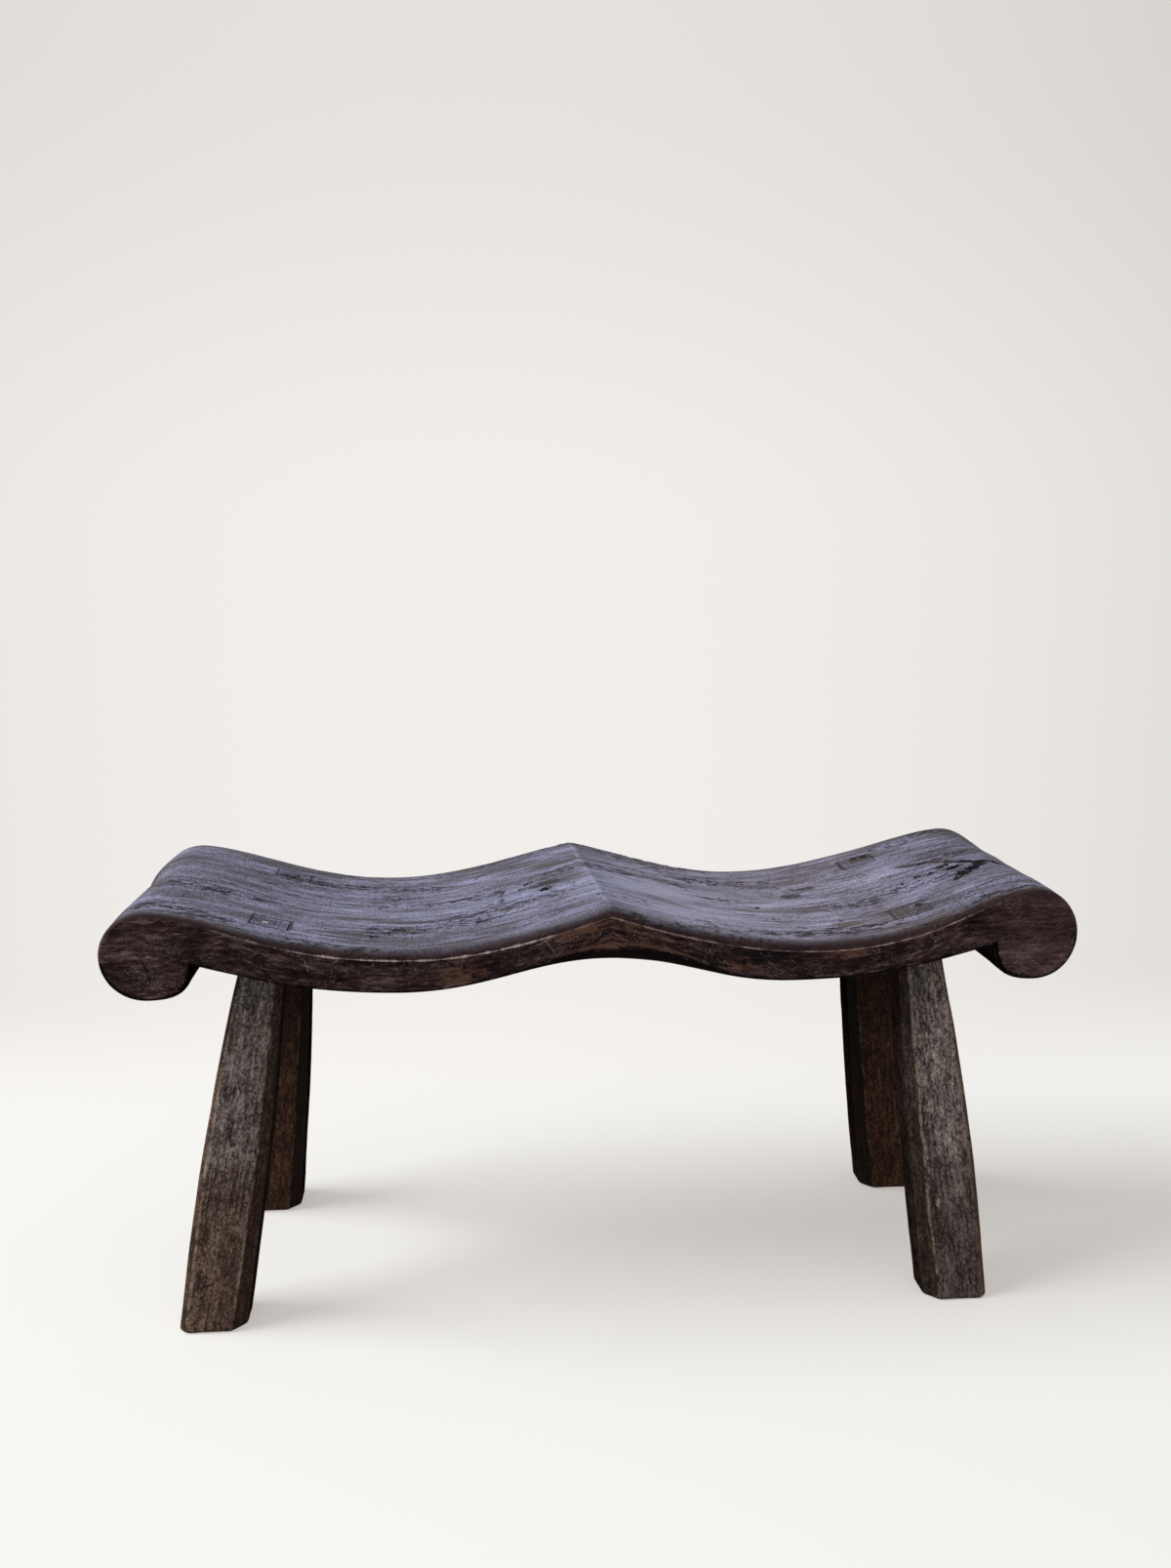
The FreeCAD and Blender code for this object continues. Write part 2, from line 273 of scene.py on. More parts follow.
def answers(operation):
    """What a term does on the left and on the right of one sign of arithmetic."""

    def on_the_left(term, other):
        return term.wiring.math(operation, term, other)

    def on_the_right(term, other):
        return term.wiring.math(operation, other, term)

    return on_the_left, on_the_right


class Term:
    """One output of a node, usable in sums, so that a rule reads like its formula."""

    def __init__(self, wiring, socket):
        self.wiring = wiring
        self.socket = socket

    def __abs__(self):
        return self.wiring.math("ABSOLUTE", self)

    __add__, __radd__ = answers("ADD")
    __sub__, __rsub__ = answers("SUBTRACT")
    __mul__, __rmul__ = answers("MULTIPLY")
    __truediv__, __rtruediv__ = answers("DIVIDE")
    __pow__, __rpow__ = answers("POWER")


class Wiring:
    """Adds nodes to one tree and joins them."""

    def __init__(self, tree):
        self.tree = tree

    def feed(self, socket, value):
        """Joins a term to a socket, or sets the socket's value; a colour is given as three numbers."""
        if isinstance(value, Term):
            self.tree.links.new(value.socket, socket)
        elif socket.type == "RGBA":
            socket.default_value = (*value, 1)
        else:
            socket.default_value = value

    def add(self, kind, inputs=None, **settings):
        """A new node with its settings, and its inputs by name or number."""
        node = self.tree.nodes.new(kind)
        for name, value in settings.items():
            setattr(node, name, value)
        for key, value in (inputs or {}).items():
            self.feed(node.inputs[key], value)
        return node

    def term(self, node, output=0):
        return Term(self, node.outputs[output])

    def math(self, operation, *terms):
        node = self.add("ShaderNodeMath", dict(enumerate(terms)), operation=operation)
        return self.term(node)

    def least(self, first, *others):
        for other in others:
            first = self.math("MINIMUM", first, other)
        return first

    def most(self, first, *others):
        for other in others:
            first = self.math("MAXIMUM", first, other)
        return first

    def ramp(self, value, low, high, start=0.0, end=1.0):
        """Start below low, end above high, and a smooth change between them."""
        inputs = {0: value, 1: low, 2: high, 3: start, 4: end}
        return self.term(self.add("ShaderNodeMapRange", inputs, interpolation_type="SMOOTHSTEP"))

    def vector(self, x, y, z):
        return self.term(self.add("ShaderNodeCombineXYZ", {0: x, 1: y, 2: z}))

    def split(self, vector):
        node = self.add("ShaderNodeSeparateXYZ", {0: vector})
        return [self.term(node, axis) for axis in range(3)]

    def vector_math(self, operation, inputs, output=0):
        return self.term(self.add("ShaderNodeVectorMath", inputs, operation=operation), output)

    def scaled(self, vector, factors):
        return self.vector_math("MULTIPLY", {0: vector, 1: factors})

    def times(self, vector, factor):
        return self.vector_math("SCALE", {0: vector, "Scale": factor})

    def noise(self, place, seed=0.0, detail=2.0, roughness=0.5, distortion=0.0):
        """Noise from 0 to 1 with one wave in about one unit of place."""
        inputs = {
            "Vector": place, "W": seed, "Scale": 1.0,
            "Detail": detail, "Roughness": roughness, "Distortion": distortion,
        }
        return self.term(self.add("ShaderNodeTexNoise", inputs, noise_dimensions="4D"))

    def cells(self, place, feature="F1", dimensions="3D"):
        """Distance to the nearest cell's point or edge, with one cell in about one unit of place."""
        node = self.add("ShaderNodeTexVoronoi", feature=feature, voronoi_dimensions=dimensions)
        for name, value in (("Vector", place), ("Scale", 1.0)):
            self.feed(node.inputs[name], value)
        return self.term(node, "Distance")

    def mix(self, share, under, over):
        """Two colours, the second showing by its share."""
        inputs = {0: share, 6: under, 7: over}
        return self.term(self.add("ShaderNodeMix", inputs, data_type="RGBA"), 2)

    def tones(self, value, *stops):
        """A colour that passes through stops, each a value from 0 to 1 and its colour."""
        node = self.add("ShaderNodeValToRGB", {0: value})
        marks = node.color_ramp.elements
        while len(marks) < len(stops):
            marks.new(1.0)
        for made, (at, colour) in zip(marks, stops):
            made.position = at
            made.color = (*colour, 1)
        return self.term(node)

    def spot(self, place, centre, reach):
        """1 at a centre, falling smoothly to 0 at its reach along each axis."""
        away = self.vector_math("SUBTRACT", {0: place, 1: centre})
        shares = self.scaled(away, tuple(1 / size for size in reach))
        return self.ramp(self.vector_math("LENGTH", {0: shares}, "Value"), 1.0, 0.0)

    def stroke(self, u, v, start, end, half_width):
        """1 on a straight stroke between two points of a plane, falling to 0 at its half width."""
        along = (end[0] - start[0], end[1] - start[1])
        span = math.hypot(*along)
        step = (along[0] / span, along[1] / span)
        u, v = u - start[0], v - start[1]
        way = (u * step[0] + v * step[1]) / span
        aside = abs(v * step[0] - u * step[1])
        taper = self.ramp(abs(way - 0.5), 0.5, 0.3)
        return self.ramp(aside, half_width, half_width * 0.3) * taper


SOCKET_KINDS = {
    float: "NodeSocketFloat",
    int: "NodeSocketInt",
    tuple: "NodeSocketVector",
    "geometry": "NodeSocketGeometry",
    "material": "NodeSocketMaterial",
}


class Rule(Wiring):
    """A tree of geometry nodes with named inputs, which ends as a real mesh in one material."""

    def __init__(self, name, **sizes):
        super().__init__(bpy.data.node_groups.new(name, "GeometryNodeTree"))
        self.sizes = sizes
        self.face = self.tree.interface
        self.face.new_socket("Geometry", in_out="OUTPUT", socket_type=SOCKET_KINDS["geometry"])
        self.face.new_socket("Geometry", in_out="INPUT", socket_type=SOCKET_KINDS["geometry"])
        self.face.new_socket("Material", in_out="INPUT", socket_type=SOCKET_KINDS["material"])
        for label, value in sizes.items():
            kind = SOCKET_KINDS[type(value)]
            socket = self.face.new_socket(self.title(label), in_out="INPUT", socket_type=kind)
            socket.default_value = value
        self.inlet = self.tree.nodes.new("NodeGroupInput")

    @staticmethod
    def title(label):
        return label.replace("_", " ").title()

    def size(self, label):
        """One of the tree's named inputs."""
        return Term(self, self.inlet.outputs[self.title(label)])

    def position(self):
        return self.term(self.add("GeometryNodeInputPosition"))

    def named(self, name, data_type="FLOAT"):
        node = self.add("GeometryNodeInputNamedAttribute", {"Name": name}, data_type=data_type)
        return self.term(node, "Attribute")

    def end(self, geometry):
        """Closes the tree: instances made real and the material set."""
        real = self.term(self.add("GeometryNodeRealizeInstances", {"Geometry": geometry}))
        inputs = {"Geometry": real, "Material": self.size("material")}
        dressed = self.add("GeometryNodeSetMaterial", inputs)
        outlet = self.tree.nodes.new("NodeGroupOutput")
        self.tree.links.new(dressed.outputs[0], outlet.inputs["Geometry"])

    def run(self, mesh, material, **changed):
        """The plain mesh that the tree makes with its sizes, some of them changed for this piece."""
        carrier = temporary(mesh or bpy.data.meshes.new("blank"))
        modifier = carrier.modifiers.new("Rule", "NODES")
        modifier.node_group = self.tree
        values = {"material": material, **self.sizes, **changed}
        values = {self.title(label): value for label, value in values.items()}
        for socket in self.face.items_tree:
            if socket.in_out == "INPUT" and socket.name in values:
                modifier[socket.identifier] = values[socket.name]
        return made_real(carrier)


def picked(settings, *names):
    """Some of a group's settings, by their names."""
    return {name: getattr(settings, name) for name in names}


def temporary(mesh):
    """An object that carries a mesh while it is worked on."""
    carrier = bpy.data.objects.new("at_work", mesh)
    bpy.context.scene.collection.objects.link(carrier)
    return carrier


def made_real(carrier, *tools):
    """The mesh that an object's modifiers give; the object and its tools are cleared away."""
    depsgraph = bpy.context.evaluated_depsgraph_get()
    evaluated = carrier.evaluated_get(depsgraph)
    mesh = bpy.data.meshes.new_from_object(evaluated, preserve_all_data_layers=True, depsgraph=depsgraph)
    for used in (carrier, *tools):
        bpy.data.objects.remove(used)
    return mesh


def carve(mesh, *steps):
    """The mesh after each step, which names a boolean operation and the mesh it works with."""
    carrier = temporary(mesh)
    tools = []
    for operation, tool_mesh in steps:
        tool = temporary(tool_mesh)
        modifier = carrier.modifiers.new(operation.title(), "BOOLEAN")
        modifier.solver = "MANIFOLD"
        modifier.operation = operation
        modifier.object = tool
        tools.append(tool)
    result = made_real(carrier, *tools)
    if not result.polygons:
        raise RuntimeError("nothing is left of the piece after carving")
    return in_triangles(result)


def mesh_of(name, points, faces):
    mesh = bpy.data.meshes.new(name)
    mesh.from_pydata([tuple(point) for point in points], [], [tuple(face) for face in faces])
    return mesh


def in_triangles(mesh):
    """The mesh in triangles, without the slivers of carving: collapsed ones, and pairs back to back."""
    mesh.calc_loop_triangles()
    corners = np.zeros(len(mesh.loop_triangles) * 3, np.int32)
    mesh.loop_triangles.foreach_get("vertices", corners)
    points, merged = np.unique(np.round(places(mesh), MERGE_DIGITS), axis=0, return_inverse=True)
    corners = merged.ravel()[corners].reshape(-1, 3)
    corners = corners[(corners != np.roll(corners, 1, axis=1)).all(axis=1)]
    _, kind, counts = np.unique(np.sort(corners, axis=1), axis=0, return_inverse=True, return_counts=True)
    single = counts[kind.ravel()] == 1
    used, corners = np.unique(corners[single], return_inverse=True)
    return mesh_of(mesh.name, points[used], corners.reshape(-1, 3).tolist())


def places(mesh):
    """The mesh's points as rows of an array."""
    points = np.zeros(len(mesh.vertices) * 3, np.float32)
    mesh.vertices.foreach_get("co", points)
    return points.reshape(-1, 3).astype(float)


def mark(mesh, **marks):
    """Stores one number, or one row of three, at each point under each name."""
    for name, values in marks.items():
        if name in mesh.attributes:
            mesh.attributes.remove(mesh.attributes[name])
        values = np.ascontiguousarray(values, np.float32)
        if values.ndim == 1:
            mesh.attributes.new(name, "FLOAT", "POINT").data.foreach_set("value", values)
        else:
            mesh.attributes.new(name, "FLOAT_VECTOR", "POINT").data.foreach_set("vector", values.ravel())


def marks_of(mesh, *names):
    """The numbers stored at each point under each name."""
    found = {}
    for name in names:
        found[name] = np.zeros(len(mesh.vertices), np.float32)
        mesh.attributes[name].data.foreach_get("value", found[name])
    return found


def carry_marks(source, mesh, *names):
    """Gives each point of a carved mesh the marks of the nearest point before carving."""
    known = marks_of(source, *names)
    tree = KDTree(len(source.vertices))
    for vertex in source.vertices:
        tree.insert(vertex.co, vertex.index)
    tree.balance()
    nearest = [tree.find(vertex.co)[1] for vertex in mesh.vertices]
    mark(mesh, **{name: values[nearest] for name, values in known.items()})


def add_piece(name, mesh, material, node):
    """The finished piece, which stands for its solid."""
    mesh.name = name
    mesh.materials.clear()
    mesh.materials.append(material)
    mesh.shade_smooth()
    mesh.set_sharp_from_angle(angle=SHARP_ANGLE)
    piece = bpy.data.objects.new(name, mesh)
    bpy.context.scene.collection.objects.link(piece)
    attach(piece, "root")
    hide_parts(node)
    return piece


def heading(angle):
    """A unit step in the X-Z plane at an angle in degrees from +X."""
    return np.array([math.cos(math.radians(angle)), math.sin(math.radians(angle))])


def cubic(start, leave, arrive, end, count):
    """Points along a cubic curve from its poles, without its last point."""
    share = np.arange(count)[:, None] / count
    rest = 1 - share
    return rest**3 * start + 3 * rest**2 * share * leave + 3 * rest * share**2 * arrive + share**3 * end


def flowing_curve(start, leave, end, arrive, count):
    """A curve between two points; the lengths of its two headings are shares of its span."""
    span = np.linalg.norm(end - start)
    return cubic(start, start + leave * span, end - arrive * span, end, count)


class Roll:
    """One rolled end, an oval whose angles run in degrees from its tip over its top."""

    def __init__(self, side, inset, swell=0.0):
        width, height = ROLL_SIZES[side]
        half_width, half_height = (size / 2 - inset * ROLL_EDGE_ROUND for size in (width + swell, height))
        self.reach = np.array([side * half_width, half_height])
        middle = SEAT_HEIGHT - ROLL_DROP + height / 2
        self.centre = np.array([side * (SEAT_LENGTH - width + swell) / 2, middle])

    def point(self, angle):
        return self.centre + heading(angle) * self.reach

    def travel(self, angle):
        return heading(angle + 90) * self.reach

    def arc(self, first, last, count, fullness=1.0):
        hold = fullness * 4 / 3 * math.tan(math.radians(last - first) / 4)
        start, end = self.point(first), self.point(last)
        return cubic(start, start + self.travel(first) * hold, end - self.travel(last) * hold, end, count)


def unit(step):
    return step / np.linalg.norm(step)


def slab_outline(y, inset, edge_round, ridge_radii):
    """The slab's closed outline at a depth, from the left tip over the top and back along the underside."""
    skew = -2 * y / SEAT_DEPTH

    def askew(front_and_rear):
        front, rear = front_and_rear
        return (front + rear + skew * (front - rear)) / 2

    def swell(side):
        swells = ROLL_SWELLS[side]
        return sum(height * math.exp(-(((y - depth) / reach) ** 2)) for depth, reach, height in swells)

    left, right = (Roll(side, inset, swell(side)) for side in (LEFT, RIGHT))
    floor = SEAT_HEIGHT - inset * edge_round
    ridge_radius = askew(ridge_radii)
    hollow_l, hollow_r = (
        np.array([side * HOLLOW_SPACING / 2 + skew * HOLLOW_SKEW, floor]) for side in (LEFT, RIGHT)
    )
    slope = askew(RIDGE_SLOPES)
    crest_centre = np.array([skew * RIDGE_SKEW, floor + RIDGE_RISE - ridge_radius])
    flank_l, flank_r = (crest_centre + heading(90 - side * slope) * ridge_radius for side in (LEFT, RIGHT))
    crest_hold = 4 / 3 * math.tan(math.radians(slope) / 2) * ridge_radius
    leave_roll = unit(left.travel(ROLL_BLEND)) * ROLL_HOLD
    reach_roll = unit(right.travel(ROLL_BLEND)) * -ROLL_HOLD
    outer, inner = heading(0) * askew(OUTER_HOLDS), heading(0) * INNER_HOLD
    up, down = heading(slope), heading(-slope)
    blend_l, blend_r = left.point(ROLL_BLEND), right.point(ROLL_BLEND)
    n = TOP_COUNTS
    top = [
        left.arc(0, ROLL_BLEND, n[0]),
        flowing_curve(blend_l, leave_roll, hollow_l, outer, n[1]),
        flowing_curve(hollow_l, inner, flank_l, up * RIDGE_HOLD, n[2]),
        cubic(flank_l, flank_l + up * crest_hold, flank_r - down * crest_hold, flank_r, n[3]),
        flowing_curve(flank_r, down * RIDGE_HOLD, hollow_r, inner, n[4]),
        flowing_curve(hollow_r, outer, blend_r, reach_roll, n[5]),
        right.arc(ROLL_BLEND, 0, n[6]),
    ]
    lift = inset * LOWER_EDGE_ROUND
    belly_l, belly_r = (
        np.array([side * BELLY_SPACING / 2, SEAT_HEIGHT - HOLLOW_THICKNESS[side] + lift])
        for side in (LEFT, RIGHT)
    )
    arch = np.array([skew * RIDGE_SKEW, SEAT_HEIGHT + RIDGE_RISE - RIDGE_THICKNESS + lift])
    leave_notch = heading(180 + NOTCH_SLOPE) * UNDERSIDE_HOLD
    reach_notch = heading(180 - NOTCH_SLOPE) * UNDERSIDE_HOLD
    level = heading(180) * UNDERSIDE_HOLD
    n = UNDER_COUNTS
    underside = [
        right.arc(0, -90, n[0]),
        right.arc(-90, ROLL_NOTCH, n[1], INNER_FULLNESS),
        flowing_curve(right.point(ROLL_NOTCH), leave_notch, belly_r, level, n[2]),
        flowing_curve(belly_r, level, arch, level, n[3]),
        flowing_curve(arch, level, belly_l, level, n[4]),
        flowing_curve(belly_l, level, left.point(ROLL_NOTCH), reach_notch, n[5]),
        left.arc(ROLL_NOTCH, -90, n[6], INNER_FULLNESS),
        left.arc(-90, 0, n[7]),
    ]
    return np.concatenate(top + underside)


def slab_rows(edge_round):
    """Depth and inset of each row of the slab, through the worn rounds of both long edges."""
    into = np.linspace(0, 1, EDGE_ROWS) ** EDGE_CROWDING
    edge = [(share * edge_round, (1 - share) ** EDGE_FALL) for share in into]
    front = [(-SEAT_DEPTH / 2 + depth, inset) for depth, inset in edge]
    rear = [(-y, inset) for y, inset in reversed(front)]
    between = np.linspace(front[-1][0], rear[0][0], MIDDLE_ROWS + 2)[1:-1]
    return front + [(y, 0.0) for y in between] + rear


def inside(points, loop):
    """Which points lie inside a closed loop."""
    within = np.zeros(len(points), bool)
    x, z = points.T
    for (x1, z1), (x2, z2) in zip(loop, np.roll(loop, -1, axis=0)):
        spans = (z1 > z) != (z2 > z)
        if spans.any():
            within ^= spans & (x < x1 + (z - z1) * (x2 - x1) / (z2 - z1 if z2 != z1 else 1.0))
    return within


def least_distance(points, others):
    """How far each point lies from the nearest of the others."""
    return np.min(np.linalg.norm(points[:, None] - others[None], axis=2), axis=1)


def end_face(loop):
    """Points to add within a closed loop, and triangles over the loop's points followed by those."""
    low, high = loop.min(0), loop.max(0)
    xs, zs = (np.arange(low[axis], high[axis], FACE_SPACING) for axis in (0, 1))
    grid = np.stack(np.meshgrid(xs, zs), -1)
    grid[1::2, :, 0] += FACE_SPACING / 2
    grid = grid.reshape(-1, 2)
    grid = grid[inside(grid, loop)]
    grid = grid[least_distance(grid, loop) > FACE_SPACING * FACE_CLEARANCE]
    points = np.concatenate([loop, grid])
    edges = [(i, (i + 1) % len(loop)) for i in range(len(loop))]
    found = delaunay_2d_cdt([Vector(p) for p in points], edges, [], 1, FACE_WELD)
    origin = [sources[0] for sources in found[3]]
    return grid, [[origin[corner] for corner in face] for face in found[2]]


def crack_marks(plan):
    """How far each point lies to either side of the long crack, and its share of the way along it."""
    # Turned by an eighth, the crack runs steadily along one axis
    turned = np.array([[1, 1], [-1, 1]]) / math.sqrt(2)
    along, beside = (plan @ turned).T
    route_along, route_beside = (np.array(CRACK) @ turned).T
    aside = beside - np.interp(along, route_along, route_beside)
    way = (along - route_along[0]) / (route_along[-1] - route_along[0])
    return aside, way


def below_top(points, top):
    """How deep points lie below the sitting curve, taken as level from the rolls' shoulders outwards."""
    shoulder = SEAT_LENGTH / 2 - ROLL_SIZES[LEFT][0] * SHOULDER_SHARE
    return np.interp(np.clip(points[:, 0], -shoulder, shoulder), top[:, 0], top[:, 1]) - points[:, 1]


def patch_share(points, x, y, half_length, half_width):
    """1 at a patch's centre, falling off all round."""
    return np.exp(-((points[:, 0] - x) / half_length) ** 2 - ((points[:, 1] - y) / half_width) ** 2)


def gouge_depth(plan):
    """How deep the crack and the chips go at each point of the sitting surface."""
    aside, way = crack_marks(plan)
    # Full depth over the middle third, running out towards both ends
    within = np.clip(1.5 - 3 * np.abs(way - 0.5), 0, 1)
    depth = CRACK_DEPTH * within * np.exp(-((aside / CRACK_HALF_WIDTH) ** 2))
    for x, y, half_length, half_width, deepest in CHIPS:
        depth = np.maximum(depth, deepest * patch_share(plan, x, y, half_length, half_width))
    return depth


class Slab:
    """The carved slab before any mortise is cut, and what lies below its sitting surface."""

    def __init__(self, seat):
        self.column_count = sum(TOP_COUNTS) + sum(UNDER_COUNTS)
        self.top_count = sum(TOP_COUNTS) + 1
        self.rows = slab_rows(seat.edge_round)
        self.mesh = carving_rule(seat).run(self.blank(seat), None)

    def skin(self, seat):
        """The points of the slab's outlines, row by row from front to rear."""
        radii = (seat.front_ridge_radius, seat.rear_ridge_radius)
        skin = np.zeros((len(self.rows), self.column_count, 3))
        skin[..., [0, 2]] = [slab_outline(y, inset, seat.edge_round, radii) for y, inset in self.rows]
        skin[..., 1] = np.array([y for y, _ in self.rows])[:, None]
        return skin

    def crown(self):
        """How far each column of the skin belongs to the top, rising over the rolls."""
        over = np.zeros(self.column_count)
        over[:self.top_count] = 1.0
        roll = TOP_COUNTS[0]
        rising = np.clip(np.linspace(-0.1, 1.1, roll), 0, 1)
        over[:roll] = rising
        over[self.top_count - roll:self.top_count] = rising[::-1]
        return over

    def blank(self, seat):
        """The slab as drawn, with its marks for carving and finishing."""
        skin = self.skin(seat)
        shape = skin.shape[:2]
        steps = np.linalg.norm(np.diff(skin, axis=0), axis=2)
        from_front = np.concatenate([np.zeros((1, self.column_count)), np.cumsum(steps, axis=0)])
        arris = np.minimum(from_front, from_front[-1] - from_front)
        of_top = np.arange(self.column_count) < self.top_count
        profiles = skin[..., [0, 2]]
        marks = {
            "arris": [arris],
            "crown": [np.broadcast_to(self.crown(), shape)],
            "drop": [np.stack([below_top(profile, profile[:self.top_count]) for profile in profiles])],
            "lower": [np.where(of_top, RIDGE_THICKNESS, arris)],
            "on_top": [np.broadcast_to(of_top, shape)],
        }
        points = [skin.reshape(-1, 3)]
        number = np.arange(shape[0] * shape[1]).reshape(shape)
        beside = np.roll(number, -1, axis=1)
        faces = np.stack([number[:-1], beside[:-1], beside[1:], number[1:]], -1).reshape(-1, 4).tolist()
        for row, order in ((0, 1), (shape[0] - 1, -1)):
            loop = profiles[row]
            top, under = loop[:self.top_count], loop[self.top_count:]
            added, triangles = end_face(loop)
            index = np.concatenate([number[row], np.arange(len(added)) + sum(map(len, points))])
            faces += [[index[corner] for corner in triangle[::order]] for triangle in triangles]
            points.append(np.insert(added, 1, skin[row, 0, 1], axis=1))
            sunk = np.interp(added[:, 0], top[:, 0], top[:, 1]) - added[:, 1]
            marks["arris"].append(-least_distance(added, top))
            marks["crown"].append(np.clip(1 - sunk / CROWN_DEPTH, 0, 1))
            marks["drop"].append(below_top(added, top))
            marks["lower"].append(least_distance(added, under))
            marks["on_top"].append(np.zeros(len(added), bool))
        points = np.concatenate(points)
        marks = {name: np.concatenate([part.ravel() for part in parts]) for name, parts in marks.items()}
        on_top = marks.pop("on_top")
        plan, front = points[:, :2], points[:, [0, 2]]
        aside, way = crack_marks(plan)
        warm = [strength * patch_share(front, *patch) for *patch, strength in WARM_PATCHES]
        mesh = mesh_of("slab", points, faces)
        mark(
            mesh, **marks, gouge=gouge_depth(plan) * on_top, crack_aside=np.where(on_top, aside, 1.0),
            crack_way=way, warm=np.max(warm, axis=0),
        )
        return mesh

    def below(self):
        """Everything below the sitting surface, which pares flush whatever stands proud of it."""
        skin_count = len(self.rows) * self.column_count
        skin = places(self.mesh)[:skin_count].reshape(len(self.rows), self.column_count, 3)
        roll = TOP_COUNTS[0]
        upper = skin[:, roll:self.top_count - roll]
        lower = upper.copy()
        lower[..., 2] = 0
        row_count, column_count = upper.shape[:2]
        number = np.arange(2 * row_count * column_count).reshape(2, row_count, column_count)
        sheets = []
        for layer, order in ((0, 1), (1, -1)):
            at = number[layer]
            quads = np.stack([at[:-1, :-1], at[:-1, 1:], at[1:, 1:], at[1:, :-1]], -1).reshape(-1, 4)
            sheets.append(quads[:, ::order])
        rim = np.concatenate([
            number[:, 0, :-1], number[:, :-1, -1], number[:, -1, :0:-1], number[:, :0:-1, 0],
        ], axis=1)
        beyond = np.roll(rim, -1, axis=1)
        sheets.append(np.stack([rim[1], beyond[1], beyond[0], rim[0]], -1))
        points = np.concatenate([upper.reshape(-1, 3), lower.reshape(-1, 3)])
        return mesh_of("below", points, np.concatenate(sheets).tolist())


def dash_pits(wiring, place, seed):
    """Short pits along the grain that stand in clusters: 0 on the sound surface, 1 at a pit's bottom."""
    x, y, _ = wiring.split(place)
    ragged = wiring.noise(wiring.vector(x * 150.0, y * 260.0, 0.0), seed, detail=2.0) - 0.5
    sway = wiring.noise(wiring.vector(x * 9.0, y * 12.0, 0.0), seed + 2.0, detail=1.0) * 0.03
    crowd = wiring.noise(wiring.vector(x * 5.0, y * 17.0, 0.0), seed + 5.0, detail=3.0, roughness=0.6)
    pits = 0.0
    for across, most_reach in ((115.0, 0.38), (230.0, 0.40)):
        away = wiring.cells(wiring.vector(x * across * 0.28, (y + sway) * across, 0.0), dimensions="2D")
        reach = wiring.ramp(crowd, 0.49, 0.66, 0.0, most_reach)
        pits = wiring.most(pits, wiring.ramp(away + ragged * 0.55, reach, reach * 0.65))
    return pits


def carving_rule(seat):
    """Adze marks, raised grain, pits and gouges on the surface of the slab."""
    rule = Rule("Carved surface", **picked(
        seat, "adze_depth", "adze_length", "grain_depth", "grain_width", "pit_depth", "gouge_share", "seed",
    ))
    place = rule.position()
    seed = rule.size("seed")
    length, width = rule.size("adze_length"), rule.size("grain_width")
    adze = rule.noise(rule.times(place, 1 / length), seed, detail=1.0) - 0.5
    grain_place = rule.times(rule.scaled(place, (0.07, 1.0, 0.5)), 1 / width)
    grain = rule.noise(grain_place, seed + 7.0, detail=3.0, roughness=0.6) - 0.5
    ragged = rule.ramp(rule.noise(rule.times(place, 260.0), seed, detail=2.0), 0.3, 0.6, 0.35, 1.25)
    on_top = rule.ramp(rule.named("crown"), 0.6, 0.9) * rule.ramp(rule.named("arris"), 0.004, 0.012)
    pits = dash_pits(rule, place, seed) * on_top
    height = adze * rule.size("adze_depth") + grain * rule.size("grain_depth")
    height = height - pits * rule.size("pit_depth")
    height = height - rule.named("gouge") * ragged * rule.size("gouge_share")
    normal = rule.term(rule.add("GeometryNodeInputNormal"))
    inputs = {"Geometry": rule.size("geometry"), "Offset": rule.times(normal, height)}
    rule.end(rule.term(rule.add("GeometryNodeSetPosition", inputs)))
    return rule


